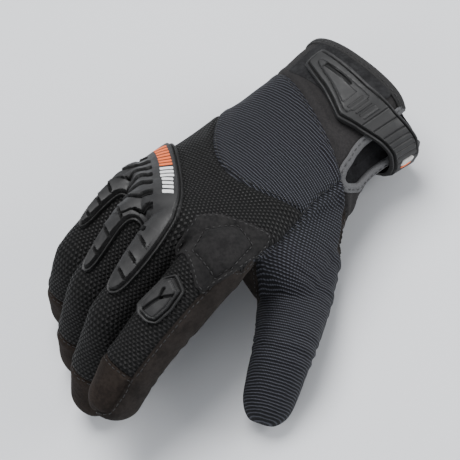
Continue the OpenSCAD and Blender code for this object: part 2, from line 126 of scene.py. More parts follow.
class Limb:
    """A finger's or the thumb's centre line: s is measured along it from the first joint."""

    STEP = 0.5

    def __init__(self, points, first, side, softness):
        points = [np.asarray(p, float) for p in points]
        lengths = [np.linalg.norm(b - a) for a, b in zip(points, points[1:])]
        marks = np.concatenate([[0], np.cumsum(lengths)])
        self.marks = marks - marks[first]
        stations = np.arange(marks[0], marks[-1] + self.STEP / 2, self.STEP)
        line = np.stack([np.interp(stations, marks, [p[k] for p in points]) for k in range(3)], 1)
        reach = int(4 * softness / self.STEP)
        ahead = line[-1] + (line[-1] - line[-2]) * np.arange(1, reach + 1)[:, None]
        behind = line[0] - (line[1] - line[0]) * np.arange(reach, 0, -1)[:, None]
        long_line = np.concatenate([behind, line, ahead])
        weights = np.exp(-0.5 * (np.arange(-reach, reach + 1) * self.STEP / softness) ** 2)
        weights /= weights.sum()
        self.centre = np.stack([np.convolve(long_line[:, k], weights, "valid") for k in range(3)], 1)
        self.s = stations - marks[first]
        self.tangent = unit(np.gradient(self.centre, axis=0))
        side = np.asarray(side, float)
        self.side = unit(side - (self.tangent @ side)[:, None] * self.tangent)
        self.up = np.cross(self.side, self.tangent)

    def at(self, s):
        """Centre, tangent, side and up direction at s, which may be an array."""
        return [np.stack([np.interp(s, self.s, a[:, k]) for k in range(3)], -1)
                for a in (self.centre, self.tangent, self.side, self.up)]

    def locate(self, points):
        """For each point: s, distance from the line, and turn from the back in degrees."""
        out = np.zeros((len(points), 3))
        for low in range(0, len(points), 4000):
            chunk = points[low:low + 4000]
            gap = chunk[:, None, :] - self.centre[None, :, :]
            nearest = (gap ** 2).sum(-1).argmin(1)
            gap = chunk - self.centre[nearest]
            along = (gap * self.tangent[nearest]).sum(1)
            across = (gap * self.side[nearest]).sum(1)
            height = (gap * self.up[nearest]).sum(1)
            out[low:low + 4000, 0] = self.s[nearest] + np.clip(along, -30, 30)
            out[low:low + 4000, 1] = np.hypot(across, height)
            out[low:low + 4000, 2] = np.degrees(np.arctan2(across, height))
        return out[:, 0], out[:, 1], out[:, 2]


def bent(direction, degrees):
    """A finger bone's direction after one more bend toward the palm."""
    a = math.radians(degrees)
    x, y, z = direction
    return np.array([x, y * math.cos(a) + z * math.sin(a), z * math.cos(a) - y * math.sin(a)])


def finger_limb(name):
    knuckle, middle, end = (joint_at(f"{name}_{j}") for j in ("knuckle", "middle_joint", "end_joint"))
    tip = end + bent(unit(end - middle), END_BEND[name]) * END_LENGTH[name]
    return Limb([knuckle - (0, 34, 3), knuckle, middle, end, tip], 1, (1, 0, 0), 4.5)


THUMB_ROOT = np.array([-27.0, 16.0, -21.0])
THUMB_END_REST = 45.4        # how far the thumb's end is bent at rest, in degrees
thumb_hinge = HAND.T @ np.array(joints["thumb_knuckle"]["axis"])


def thumb_limb():
    knuckle, end = joint_at("thumb_knuckle"), joint_at("thumb_end_joint")
    lead = unit(end - knuckle)
    bend = math.radians(THUMB_END_REST)
    tip_dir = lead * math.cos(bend) + np.cross(thumb_hinge, lead) * math.sin(bend)
    return Limb([THUMB_ROOT, knuckle, end, end + tip_dir * END_LENGTH["thumb"]], 1, -thumb_hinge, 5)


limbs = {name: finger_limb(name) for name in FINGERS}
limbs["thumb"] = thumb_limb()

# ---------------------------------------------------------------- mesh tools, on numpy arrays

SQUARENESS = 0.88            # 1 makes a limb's section an oval; less makes it boxier


def rounded(v):
    return np.sign(v) * np.abs(v) ** SQUARENESS


def unrounded(v):
    return np.sign(v) * np.abs(v) ** (1 / SQUARENESS)


def loft(rings):
    """A closed tube through rings of equal point counts: vertices and faces."""
    count, n = len(rings), len(rings[0])
    verts = np.concatenate(rings + [rings[0].mean(0)[None], rings[-1].mean(0)[None]])
    first, last = count * n, count * n + 1
    faces = [(a * n + b, a * n + (b + 1) % n, (a + 1) * n + (b + 1) % n, (a + 1) * n + b)
             for a in range(count - 1) for b in range(n)]
    faces += [(first, (b + 1) % n, b) for b in range(n)]
    faces += [(last, (count - 1) * n + b, (count - 1) * n + (b + 1) % n) for b in range(n)]
    return verts, faces


def ring(centre, side, up, left, right, high, low, n=48):
    """An oval with its own reach to the left, to the right, up and down."""
    a = np.linspace(0, 2 * math.pi, n, endpoint=False)
    c, s = rounded(np.cos(a)), rounded(np.sin(a))
    return centre + side * (c * np.where(c > 0, right, left))[:, None] \
        + up * (s * np.where(s > 0, high, low))[:, None]


def merged(parts):
    verts, faces, offset = [], [], 0
    for v, f in parts:
        verts.append(v)
        faces += [tuple(i + offset for i in face) for face in f]
        offset += len(v)
    return np.concatenate(verts), faces


def remeshed(verts, faces, voxel):
    """One skin round overlapping closed meshes, as triangles."""
    mesh = mesh_of("raw", verts, faces)
    obj = add_object("raw", mesh)
    modifier = obj.modifiers.new("remesh", "REMESH")
    modifier.mode = "VOXEL"
    modifier.voxel_size = voxel
    result = obj.evaluated_get(bpy.context.evaluated_depsgraph_get()).to_mesh()
    result.calc_loop_triangles()
    points = np.zeros(len(result.vertices) * 3)
    result.vertices.foreach_get("co", points)
    tris = np.zeros(len(result.loop_triangles) * 3, int)
    result.loop_triangles.foreach_get("vertices", tris)
    bpy.data.objects.remove(obj)
    bpy.data.meshes.remove(mesh)
    return points.reshape(-1, 3), tris.reshape(-1, 3)


def sides_of(tris):
    """The three sides of every triangle, as pairs of vertex numbers."""
    return np.concatenate([tris[:, [0, 1]], tris[:, [1, 2]], tris[:, [2, 0]]])


def edges_of(tris):
    return np.unique(np.sort(sides_of(tris), 1), axis=0)


def neighbour_mean(values, edges):
    """For each vertex the mean of the values of those that share an edge with it."""
    total = np.zeros_like(values)
    count = np.zeros(len(values))
    for a, b in ((0, 1), (1, 0)):
        np.add.at(total, edges[:, a], values[edges[:, b]])
        np.add.at(count, edges[:, a], 1)
    return total / np.maximum(count, 1).reshape(-1, *([1] * (values.ndim - 1)))


def smoothed(points, tris, rounds):
    """Evens out a surface; each round shrinks it and then swells it back."""
    edges = edges_of(tris)
    for _ in range(rounds):
        points = points + 0.6 * (neighbour_mean(points, edges) - points)
        points = points - 0.62 * (neighbour_mean(points, edges) - points)
    return points


def even(values, tris, rounds):
    """Blurs values over the surface that the triangles make."""
    edges = edges_of(tris)
    for _ in range(rounds):
        values = values + 0.5 * (neighbour_mean(values, edges) - values)
    return values


def vertex_normals(points, tris):
    a, b, c = points[tris[:, 0]], points[tris[:, 1]], points[tris[:, 2]]
    n = np.cross(b - a, c - a)
    out = np.zeros_like(points)
    for k in range(3):
        np.add.at(out, tris[:, k], n)
    return unit(out)


def cut_along(points, tris, values, where=None, snap=0.06):
    """Splits triangles along the line where values is 0.

    Returns all points and triangles and, for each new point, the edge that it lies on and how far
    along, to carry other values over. A point that lies almost on the line counts as on it.
    """
    values = values.copy()
    chosen = np.ones(len(tris), bool) if where is None else where[tris].any(1)
    v = values[tris]
    busy = tris[chosen & (v.min(1) < 0) & (v.max(1) > 0)]
    edge_ends = sides_of(busy)
    a, b = values[edge_ends[:, 0]], values[edge_ends[:, 1]]
    cross = (a * b) < 0
    ratio = np.abs(a[cross]) / (np.abs(a[cross]) + np.abs(b[cross]))
    near_a = edge_ends[cross][ratio < snap, 0]
    near_b = edge_ends[cross][ratio > 1 - snap, 1]
    values[near_a] = 0
    values[near_b] = 0
    new_of, extra = {}, []
    made_from, made_at = [], []

    def middle(i, j):
        key = (i, j) if i < j else (j, i)
        if key not in new_of:
            new_of[key] = len(points) + len(made_from)
            made_from.append(key)
            p, q = values[key[0]], values[key[1]]
            made_at.append(p / (p - q))
        return new_of[key]

    v = values[tris]
    crossing = chosen & (v.min(1) < 0) & (v.max(1) > 0)
    for t in tris[crossing]:
        sign = [int(np.sign(values[i])) for i in t]
        if 0 in sign:
            z = sign.index(0)
            i, j, k = t[z], t[(z + 1) % 3], t[(z + 2) % 3]
            m = middle(j, k)
            extra += [(i, j, m), (i, m, k)]
        else:
            lone = next(n for n in range(3) if sign.count(sign[n]) == 1)
            i, j, k = t[lone], t[(lone + 1) % 3], t[(lone + 2) % 3]
            m, n = middle(i, j), middle(i, k)
            extra += [(i, m, n), (m, j, k), (m, k, n)]
    if not extra:
        return points, tris, np.zeros((0, 2), int), np.zeros(0)
    ends, at = np.array(made_from, int).reshape(-1, 2), np.array(made_at)
    new_points = points[ends[:, 0]] * (1 - at)[:, None] + points[ends[:, 1]] * at[:, None]
    new_tris = np.concatenate([tris[~crossing], np.array(extra, int)])
    return np.concatenate([points, new_points]), new_tris, ends, at


# ---------------------------------------------------------------- the whole glove as one skin

# sizes of the hand's cross-section at stations along y
STATIONS = [-52, -47, -28, -10, 10, 35, 60, 95]
HALF_WIDTH = (STATIONS, [41.3, 41, 39.5, 37.5, 40, 45, 48.5, 49])
HALF_HEIGHT = (STATIONS, [28.2, 28, 27.5, 26, 23, 20, 17.5, 15])
CENTRE_Z = (STATIONS, [11.8, 11.2, 9.5, 6.5, 3.5, 1.5, 0, 0])
ARCH_PART = ([-47, 0, 60, 90], [0, 0.1, 0.8, 1])       # how much of the knuckles' arch shows


def arch(x):
    """How far the row of knuckles stands above or below the hand's middle plane."""
    return -2.1 - 0.267 * x + 4.5 * (1 - (x / 38) ** 2)


def fullness(turn, y):
    """The swell of the cloth at the thumb's root, beyond the hand's plain form."""
    return 6.5 * np.exp(-((turn - 205) / 30) ** 2 - ((y - 6) / 18) ** 2)


def hand_centre_z(x, y):
    return np.interp(y, *CENTRE_Z) + arch(x) * np.interp(y, *ARCH_PART)


def tuck(turn, y):
    """How far the corner between rim and notch is drawn in beneath the strap."""
    return 5.5 * bell(turn, 154, 17) * smoothstep((-23 - y) / 15)


def hand_skin(turn, y, d=0.0):
    """A point d outside the hand's skin; turn runs from the little finger's side over the back."""
    a = np.radians(turn)
    d = d + fullness(turn, y)
    x = (np.interp(y, *HALF_WIDTH) + d) * rounded(np.cos(a))
    z = hand_centre_z(x, y) + (np.interp(y, *HALF_HEIGHT) + d) * rounded(np.sin(a))
    return np.stack(np.broadcast_arrays(x, y, z), -1)


def hand_turn(points):
    """The turn of each point round the hand's middle, in degrees from 0 to 360."""
    x, y, z = points.T
    across = unrounded(x / np.interp(y, *HALF_WIDTH))
    up = unrounded((z - hand_centre_z(x, y)) / np.interp(y, *HALF_HEIGHT))
    return np.degrees(np.arctan2(up, across)) % 360


SKIN_VOXEL, SKIN_ROUNDS = ((0.85, 14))
LANE_HALF = 11.6             # a finger's reach toward its neighbour
FINGER_SIZE = {              # half heights at the knuckle, the two joints and the tip
    "index": (15.5, 14.2, 13.4, 12.2), "middle": (14.4, 13.5, 13, 12),
    "ring": (13.8, 13, 12.3, 11.6), "little": (12.8, 12, 11.3, 10.6)}
OUTER_REACH = {"index": 1.2, "little": 0.6}     # what an outer finger adds on its free side
THUMB_SIZE = (19.5, 18, 15, 11.8)     # radius at the root, the two joints and the tip


def tip_closing(s, end, length):
    t = np.clip((s - (end - length)) / length, 0, 1)
    return (1 - t ** 2.3) ** (1 / 2.3)


def tube_stations(start, end, closing):
    """Even stations along a limb, then closer ones over its rounded end."""
    round_end = end - closing * np.cos(np.radians(np.arange(0, 90, 5)))
    return np.concatenate([np.arange(start, end - closing, 2.0), round_end])


FINGER_START, FINGER_CLOSING, THUMB_CLOSING = -26, 13, 15


def finger_tube(name):
    limb = limbs[name]
    end = limb.s[-1]
    low_part = 1.06 if name == "index" else 0.97
    rings = []
    for s in tube_stations(FINGER_START, end, FINGER_CLOSING):
        c, _, side, up = limb.at(s)
        closing = tip_closing(s, end, FINGER_CLOSING)
        r = np.interp(s, limb.marks[1:], FINGER_SIZE[name]) * closing
        r *= 0.55 + 0.45 * smoothstep((s - FINGER_START) / 24)
        inner = min(r, LANE_HALF * closing)
        left = r + OUTER_REACH["index"] if name == "index" else inner
        right = r + OUTER_REACH["little"] if name == "little" else inner
        rings.append(ring(c, side, up, left, right, r, r * low_part))
    return loft(rings)


def thumb_tube():
    limb = limbs["thumb"]
    start, end = limb.s[0], limb.s[-1]
    rings = []
    for s in tube_stations(start, end, THUMB_CLOSING):
        c, _, side, up = limb.at(s)
        r = np.interp(s, limb.marks, THUMB_SIZE) * tip_closing(s, end, THUMB_CLOSING)
        r *= 0.7 + 0.3 * smoothstep((s - start) / 25)
        rings.append(ring(c, side, up, r, r, r * 0.95, r * 0.95))
    return loft(rings)


BLOCK_END, BLOCK_CLOSING = 84, 13


def hand_block():
    """The hand from the cuff to the knuckles, without thumb and fingers."""
    turns = np.arange(0, 360, 4.0)
    rings = [hand_skin(turns, y, -tuck(turns, y)) for y in np.arange(RIM_Y - 5, BLOCK_END, 3.0)]
    for y in np.arange(BLOCK_END, 96, 2.0):
        whole = hand_skin(turns, y)
        middle = np.stack([whole[:, 0], whole[:, 1], hand_centre_z(whole[:, 0], y)], 1)
        close = math.sqrt(1 - ((y - BLOCK_END) / BLOCK_CLOSING) ** 2)
        shrunk = mix(middle, whole, close)
        shrunk[:, 0] *= 1 - 0.3 * (1 - close)
        # the little finger's knuckle sits lower down the hand than the others
        shrunk[:, 1] -= 9 * smoothstep((shrunk[:, 0] - 18) / 16)
        rings.append(shrunk)
    return loft(rings)


def bridge(a, b, size_a, size_b, side, steps=12):
    """A rounded lump from a to b; sizes are half width and half height."""
    a, b = np.asarray(a, float), np.asarray(b, float)
    along = unit(b - a)
    side = unit(side - (np.asarray(side, float) @ along) * along)
    up = np.cross(side, along)
    rings = []
    for t in np.cos(np.linspace(math.pi, 0, steps + 2))[1:-1] / 2 + 0.5:
        close = math.sqrt(max(1e-3, 1 - (2 * t - 1) ** 4))
        w, h = mix(np.array(size_a), np.array(size_b), t) * close
        rings.append(ring(mix(a, b, t), side, up, w, w, h, h))
    return loft(rings)


def finger_webs():
    """The skin that joins neighbouring fingers at their roots."""
    parts = []
    for a, b in zip(FINGERS, FINGERS[1:]):
        start = (limbs[a].at(-14)[0] + limbs[b].at(-14)[0]) / 2
        reach = 14 if b == "little" else 16
        end = (limbs[a].at(reach)[0] + limbs[b].at(reach)[0]) / 2 - (0, 0, 2.5)
        parts.append(bridge(start, end, (9, 13), (8, 9), (1, 0, 0)))
    return parts


def thumb_web():
    """The full, smooth flank from the back of the hand and the palm down to the thumb."""
    thumb = limbs["thumb"]
    rings = []
    for u in np.linspace(0.02, 0.98, 30):
        hand_side = mix(np.array([-20.0, 6, 1]), np.array([-38.0, 75, -1]), u)
        thumb_side = thumb.at(mix(-38, 17, u))[0]
        side = unit(hand_side - thumb_side)
        along = unit(mix(np.array([-0.35, 0.93, 0]), thumb.at(0)[1], 0.5))
        up = unit(np.cross(side, along))
        up = up if up[2] > 0 else -up
        close = (1 - abs(2 * u - 1) ** 5) ** 0.4
        reach = np.linalg.norm(hand_side - thumb_side) / 2
        thick = mix(18.5, 15, u) * close
        rings.append(ring((hand_side + thumb_side) / 2, side, up, reach + 9 * close,
                          reach + 8 * close, thick + 3.5 * close, thick))
    heel = bridge((-27, -10, -4), (-42, 34, -20), (10, 15), (11.5, 14), (1, 0, 0.4))
    return [loft(rings), heel]


def build_skin():
    tubes = [finger_tube(name) for name in FINGERS]
    verts, faces = merged([hand_block(), thumb_tube(), *tubes, *finger_webs(), *thumb_web()])
    points, tris = remeshed(verts, faces, SKIN_VOXEL)
    return smoothed(points, tris, SKIN_ROUNDS), tris


# ---------------------------------------------------------------- the panels and their seams

CROTCH = (-52, 77.0)         # x and y of a point on the edge of the thumb's panel by the index finger
THUMB_SPLIT = (np.array([-0.8, 0.1, -0.6]), 54.0, 65.5)   # direction, its cut, the end of its bend
KNUCKLE_CUT = -3.0           # where the fingers' skin is cut from the hand's, along each finger
BENDS = {          # along each finger: a cut, the middle joint's bend, a cut, the end joint's bend
    "index": (25, (30, 48), 51.5, (56, 72)), "middle": (32, (41, 59), 65.5, (73, 89)),
    "ring": (29, (38, 56), 60.5, (67, 81)), "little": (27, (37, 49), 53.5, (58, 70))}
KNUCKLE_BEND = (1.0, 19.0)   # from where to where the skin turns with the finger
THUMB_CUT, THUMB_END_BEND = 19.0, (27.0, 41.0)         # the same for the thumb's end
INDEX_SIDE_RISE = 9.5        # how far the suede climbs the index finger's free side
LANE_EDGES = (-24.5, 0, 24.5)     # between the fingers
FLANK_Z = ([29, 56, 73, 90], [12.4, 6.9, 8.8, 8.8])       # the upper edge of the thumb's panel
FLANK_LOW_Z = ([0, 10, 34, 50, 80], [6, -3, -27, -25, -12])     # and its lower edge
NOTCH_TURN, NOTCH_DEPTH = 168, 55       # the notch's middle, and how far it reaches into the cuff
NOTCH_HALF = (17.0, 20.0)               # its half width in degrees, toward the back and the palm
OFF_FINGER, NOT_ON_FINGER = -30.0, -99.0       # what the fields hold away from their own limb


def lane_of(x):
    return np.digitize(x, LANE_EDGES)


def finger_cuts(name):
    """Where a finger's skin is cut into its parts, and where its cap begins."""
    first, _, second, _ = BENDS[name]
    return first, second, limbs[name].marks[3]


def notch_half(off):
    return np.where(off < 0, *NOTCH_HALF)


def rim_y(turn):
    """The rim stands back a little over the back of the wrist."""
    return -42.5 + 4 * np.cos(np.radians(turn - 80))


def cuff_seam_y(x):
    return -3 - 0.28 * x


def mesh_seam_y(x):
    return 54 - 0.0135 * (x + 10) ** 2


def notch_field(turn, y):
    """Above 0 inside the U-shaped notch at the thumb's side of the cuff."""
    off = turn - NOTCH_TURN
    return 1 - (off / notch_half(off)) ** 2 - np.clip((y - RIM_Y) / NOTCH_DEPTH, 0, 9) ** 4


class Skin:
    """The skin's points and triangles, with what the panels need to know about each point.

    Every field is a value for each point; a seam or a cut lies where its field is 0.
    """

    def __init__(self, points, tris):
        self.p, self.t = points, tris
        self.fields = {}
        self.measure()

    def __getattr__(self, name):
        return self.fields[name]

    def measure(self):
        p, f = self.p, self.fields
        x, y, z = p.T
        lane = lane_of(x)
        f["turn"] = hand_turn(p)
        beside_thumb = (y < 86) | (x < -57)
        f["thumb"] = np.where(beside_thumb, p @ THUMB_SPLIT[0] - THUMB_SPLIT[1], OFF_FINGER)
        f["thumb_s"], thumb_r, f["thumb_turn"] = limbs["thumb"].locate(p)
        f["s"] = np.full(len(p), NOT_ON_FINGER)
        f["finger_turn"] = np.zeros(len(p))
        f["finger_cut"] = np.full(len(p), OFF_FINGER)
        height, across = np.zeros(len(p)), np.zeros(len(p))
        for i, name in enumerate(FINGERS):
            m = (lane == i) & (y > 50) & (f["thumb"] < 4)
            s, r, turn = limbs[name].locate(p[m])
            f["s"][m], f["finger_turn"][m] = s, turn
            height[m], across[m] = r * np.cos(np.radians(turn)), r * np.sin(np.radians(turn))
            c, t = limbs[name].at(KNUCKLE_CUT)[:2]
            f["finger_cut"][m] = (p[m] - c) @ t
        on_finger = smoothstep((f["s"] + 22) / 22)
        rise = np.where((lane == 0) & (across < 0), -INDEX_SIDE_RISE, 1.5)
        suede_finger = -height - rise * smoothstep((f["s"] + 10) / 12)
        suede_hand = -(z - hand_centre_z(x, y))
        suede = mix(suede_hand, suede_finger, on_finger)
        flank_low = z - np.interp(y, *FLANK_LOW_Z)
        f["crotch"] = 0.77 * (x - CROTCH[0]) + 0.63 * (y - CROTCH[1])
        beside = smoothstep((-27 - x) / 10) * (1 - on_finger) * smoothstep((5 - f["crotch"]) / 8)
        suede = mix(suede, -flank_low, beside)
        near_thumb = smoothstep((f["thumb"] + 4) / 16) * (1 - on_finger)
        thumb_height = thumb_r * np.cos(np.radians(f["thumb_turn"]))
        f["suede"] = mix(suede, -thumb_height - 3, near_thumb)
        f["cuff"] = y - cuff_seam_y(x)
        f["mesh"] = y - mesh_seam_y(x)
        f["flank"] = np.interp(y, *FLANK_Z) - z
        f["notch"] = notch_field(f["turn"], y)
        f["rim"] = y - rim_y(f["turn"])

    @property
    def lane(self):
        return lane_of(self.p[:, 0])

    @property
    def y(self):
        return self.p[:, 1]

    def cut(self, values, where=None):
        self.p, self.t, ends, at = cut_along(self.p, self.t, values, where)
        for name, field in self.fields.items():
            between = mix(field[ends[:, 0]], field[ends[:, 1]], at)
            self.fields[name] = np.concatenate([field, between])


def limb_field(skin, name, s):
    """How far each point lies beyond the plane square to a limb at s."""
    c, t = limbs[name].at(s)[:2]
    return (skin.p - c) @ t


def cut_skin(skin):
    """Cuts the skin along its rim, every seam and every line between two moving parts."""
    skin.cut(skin.rim)
    skin.cut(skin.cuff, np.abs(skin.cuff) < 9)
    skin.cut(skin.notch, (skin.y < 14) & (np.abs(skin.turn - NOTCH_TURN) < 40))
    skin.cut(skin.thumb, np.abs(skin.thumb) < 9)
    for i in range(len(FINGERS)):
        skin.cut(skin.finger_cut, (skin.lane == i) & (np.abs(skin.finger_cut) < 9))
    for edge in LANE_EDGES:
        skin.cut(skin.p[:, 0] - edge, (skin.finger_cut > -2) & (skin.y > 70))
    for i, name in enumerate(FINGERS):
        for s in finger_cuts(name):
            near = (skin.lane == i) & (np.abs(skin.s - s) < 9) & (skin.finger_cut > 0)
            skin.cut(limb_field(skin, name, s), near)
    near = (skin.thumb > 0) & (np.abs(skin.thumb_s - THUMB_CUT) < 12)
    skin.cut(limb_field(skin, "thumb", THUMB_CUT), near)
    skin.cut(skin.mesh, (np.abs(skin.mesh) < 9) & (skin.suede < 6) & (skin.p[:, 2] > -20))
    near = (skin.p[:, 0] < -30) & (skin.y > -12) & (skin.y < 88) & (np.abs(skin.flank) < 8)
    skin.cut(skin.flank, near)
    skin.cut(skin.crotch, (skin.p[:, 0] < -40) & (np.abs(skin.crotch) < 9) & (skin.y > 50))
    skin.cut(skin.suede)


def panel_of(skin):
    """Each triangle's fabric panel and the motion region that it belongs to."""
    def mid(values):
        return values[skin.t].mean(1)

    x, y, _ = (mid(skin.p[:, k]) for k in range(3))
    suede, thumb = mid(skin.suede) > 0, mid(skin.thumb) > 0
    finger = (mid(skin.finger_cut) > 0) & ~thumb
    flank = (mid(skin.flank) > 0) & (x < -30) & ~finger
    past_crotch = (mid(skin.crotch) > 0) & (x > -66)
    turn = mid(skin.turn)
    panel = np.full(len(skin.t), "palm", dtype=object)
    back = ~suede
    panel[back] = "rib"
    panel[back & (mid(skin.mesh) > 0)] = "mesh"
    panel[back & (flank | thumb)] = "thumb"
    panel[(flank | thumb) & past_crotch & (y > 60)] = "palm"
    cuff = mid(skin.cuff) < 0
    panel[cuff] = "cuff_palm"
    panel[cuff & (back | flank)] = "cuff_back"
    panel[cuff & (x < -20) & (turn < NOTCH_TURN) & (turn > 90)] = "cuff_back"
    region = np.full(len(skin.t), "hand", dtype=object)
    region[thumb] = "thumb_root"
    past_cut = mid(limb_field(skin, "thumb", THUMB_CUT)) > 0
    region[thumb & past_cut & (mid(skin.thumb_s) > 0)] = "thumb_tip"
    for i, name in enumerate(FINGERS):
        own = finger & (lane_of(x) == i)
        region[own] = name + "_root"
        past = [(mid(limb_field(skin, name, s)) > 0) & (mid(skin.s) > s - 14)
                for s in finger_cuts(name)]
        region[own & past[0]] = name + "_middle"
        region[own & past[0] & past[1]] = name + "_tip"
        cap = own & past[0] & past[1] & past[2]
        panel[cap & (panel != "palm")] = "cap"
    gone = (mid(skin.rim) < 0) | ((mid(skin.notch) > 0) & (y < 9))
    panel[gone], region[gone] = "none", "none"
    return panel, region


def seam_edges(tris, labels):
    """Edges between triangles of different panels, as pairs of vertices with their two labels."""
    e = np.sort(sides_of(tris), 1)
    face = np.tile(np.arange(len(tris)), 3)
    order = np.lexsort((e[:, 1], e[:, 0]))
    e, face = e[order], face[order]
    twin = (e[1:] == e[:-1]).all(1)
    a, b, edge = labels[face[:-1][twin]], labels[face[1:][twin]], e[:-1][twin]
    wanted = (a != b) & (a != "none") & (b != "none")
    return edge[wanted], a[wanted], b[wanted]


def tree_of(points):
    tree = KDTree(max(1, len(points)))
    for i, q in enumerate(points):
        tree.insert(q, i)
    tree.balance()
    return tree


def distance_to(points, targets):
    tree = tree_of(targets)
    return np.array([tree.find(p)[2] for p in points])


def noise_at(points, scale, seed):
    """Smooth noise at each point; scale is its grain in millimetres, seed picks another pattern."""
    shift = Vector((seed * 17.3, seed * 5.1, seed * 9.7))
    return np.array([noise.noise(Vector(p) / scale + shift) for p in points])


def level(p):
    """2-D points as 3-D ones in the plane z = 0."""
    return np.concatenate([p, p[:, :1] * 0], 1)


def crease(s, centre, width, pitch, wander):
    """A few transverse folds about a bend."""
    return bell(s, centre, width) * np.cos(2 * math.pi * (s - centre) / pitch + wander)


# for the thumb: place, width, pitch and depth of its folds; for a finger: depth at its two joints
THUMB_FOLDS = ((33, 8, 5.5, 0.4), (0, 10, 7.5, 0.5), (-20, 12, 8.5, 0.55))
FINGER_FOLD_DEPTHS = (0.32, 0.22)


def wrinkles(skin):
    """How far the cloth stands out from the smooth form, in millimetres."""
    p = skin.p
    wander = 2.5 * noise_at(p, 14, 3)
    out = 0.75 * noise_at(p, 24, 1) + 0.28 * noise_at(p, 9, 2)
    suede = smoothstep(skin.suede / 4)
    for i, name in enumerate(FINGERS):
        on = (skin.lane == i) & (skin.finger_cut > -4)
        for joint, depth in zip(limbs[name].marks[2:4], FINGER_FOLD_DEPTHS):
            folds = crease(skin.s, joint, 8.5, 7.2, wander)
            out += np.where(on, depth * folds * (0.35 + 0.65 * suede), 0)
    thumb_near = smoothstep((skin.thumb + 8) / 16)
    for at, width, pitch, depth in THUMB_FOLDS:
        out += thumb_near * depth * crease(skin.thumb_s, at, width, pitch, wander)
    out *= 1 - 0.75 * smoothstep(-skin.cuff / 10)
    wrist = bell(skin.y, 6, 9) * (p[:, 0] < -24)
    return out + wrist * 0.7 * np.cos(2 * math.pi * p[:, 1] / 9 + wander)


def shape_cloth(skin, panel):
    """Wrinkles, and a groove with padded sides along every sewn seam."""
    normal = vertex_normals(skin.p, skin.t)
    edges, _, _ = seam_edges(skin.t, panel)
    seam = skin.p[np.unique(edges)]
    d = distance_to(skin.p, seam)
    groove = -0.75 * bell(d, 0, 1.1) + 0.4 * bell(d, 3.4, 2.2)
    move = wrinkles(skin) * smoothstep(d / 3 + 0.2) + groove
    skin.p = skin.p + normal * move[:, None]


FINGER_RADIUS, THUMB_RADIUS = 11.5, 15      # turn a direction round the limb into millimetres


def weave_map(skin):
    """Where each point lies in its cloth, in millimetres: across and along the hand or finger."""
    u, v, z = skin.p.T
    for i, name in enumerate(FINGERS):
        knuckle = joint_at(f"{name}_knuckle")
        k = smoothstep((skin.s + 20) / 26) * ((skin.lane == i) & (skin.s > -60))
        u = mix(u, knuckle[0] + FINGER_RADIUS * np.radians(skin.finger_turn), k)
        v = mix(v, knuckle[1] + skin.s, k)
    return np.stack([u, v, z], 1)


def thumb_weave(skin):
    """The knit's rows lie square to the thumb's length."""
    root, tip = limbs["thumb"].at(-5)[0], limbs["thumb"].at(58)[0]
    across = THUMB_RADIUS * np.radians(skin.thumb_turn)
    return np.stack([across, (skin.p - root) @ unit(tip - root), skin.p[:, 2]], 1)


# ---------------------------------------------------------------- making pieces

def closed_relief(top, bottom, tris, flip=False):
    """A solid between two surfaces that share the same triangles: the top's faces come first."""
    used, flat = np.unique(tris, return_inverse=True)
    tris = flat.reshape(-1, 3)
    if flip:
        tris = tris[:, ::-1]
    n = len(used)
    sides = sides_of(tris)
    _, first, count = np.unique(np.sort(sides, 1), axis=0, return_index=True, return_counts=True)
    faces = [tuple(t) for t in tris] + [(t[0] + n, t[2] + n, t[1] + n) for t in tris]
    faces += [(b, a, a + n, b + n) for a, b in sides[first[count == 1]]]
    return np.concatenate([top[used], bottom[used]]), faces, used


def shell(points, tris, normals, thickness):
    """A closed sheet, and which of its faces are the walls round its edge."""
    points, faces, used = closed_relief(points, points - normals * thickness, tris)
    return points, faces, used, np.arange(len(faces)) >= 2 * len(tris)


def add_object(name, data):
    obj = bpy.data.objects.new(name, data)
    bpy.context.scene.collection.objects.link(obj)
    return obj


def mesh_of(name, points, faces):
    mesh = bpy.data.meshes.new(name)
    mesh.from_pydata([tuple(v) for v in points], [], [tuple(int(i) for i in f) for f in faces])
    return mesh


def set_vectors(mesh, name, vectors):
    """Gives every vertex a vector that a material can read."""
    attribute = mesh.attributes.new(name, "FLOAT_VECTOR", "POINT")
    attribute.data.foreach_set("vector", np.asarray(vectors, np.float32).ravel())


def make_piece(name, points, faces, materials, face_material=None, weave=None, sharp=None, angle=None):
    """A piece in the row frame. sharp marks faces whose edges stay hard, angle does so by angle."""
    mesh = mesh_of(name, to_row(points), faces)
    for m in materials:
        mesh.materials.append(m)
    mesh.polygons.foreach_set("use_smooth", [True] * len(mesh.polygons))
    if face_material is not None:
        mesh.polygons.foreach_set("material_index", [int(i) for i in face_material])
    if weave is not None:
        set_vectors(mesh, "weave", weave)
    set_vectors(mesh, "place", points)
    if sharp is not None:
        hard = {mesh.loops[i].edge_index
                for p in mesh.polygons if sharp[p.index] for i in p.loop_indices}
        flags = np.zeros(len(mesh.edges), bool)
        flags[list(hard)] = True
        mesh.attributes.new("sharp_edge", "BOOLEAN", "EDGE").data.foreach_set("value", flags)
    if angle is not None:
        mesh.set_sharp_from_angle(angle=math.radians(angle))
    mesh.validate()
    return add_object(name, mesh)


def bend_points(limb, low, high):
    """The two ends of a blend along a limb's direction at the middle of a bend."""
    c, t = limb.at((low + high) / 2)[:2]
    half = (high - low) / 2
    return tuple(to_row(c - t * half)), tuple(to_row(c + t * half))


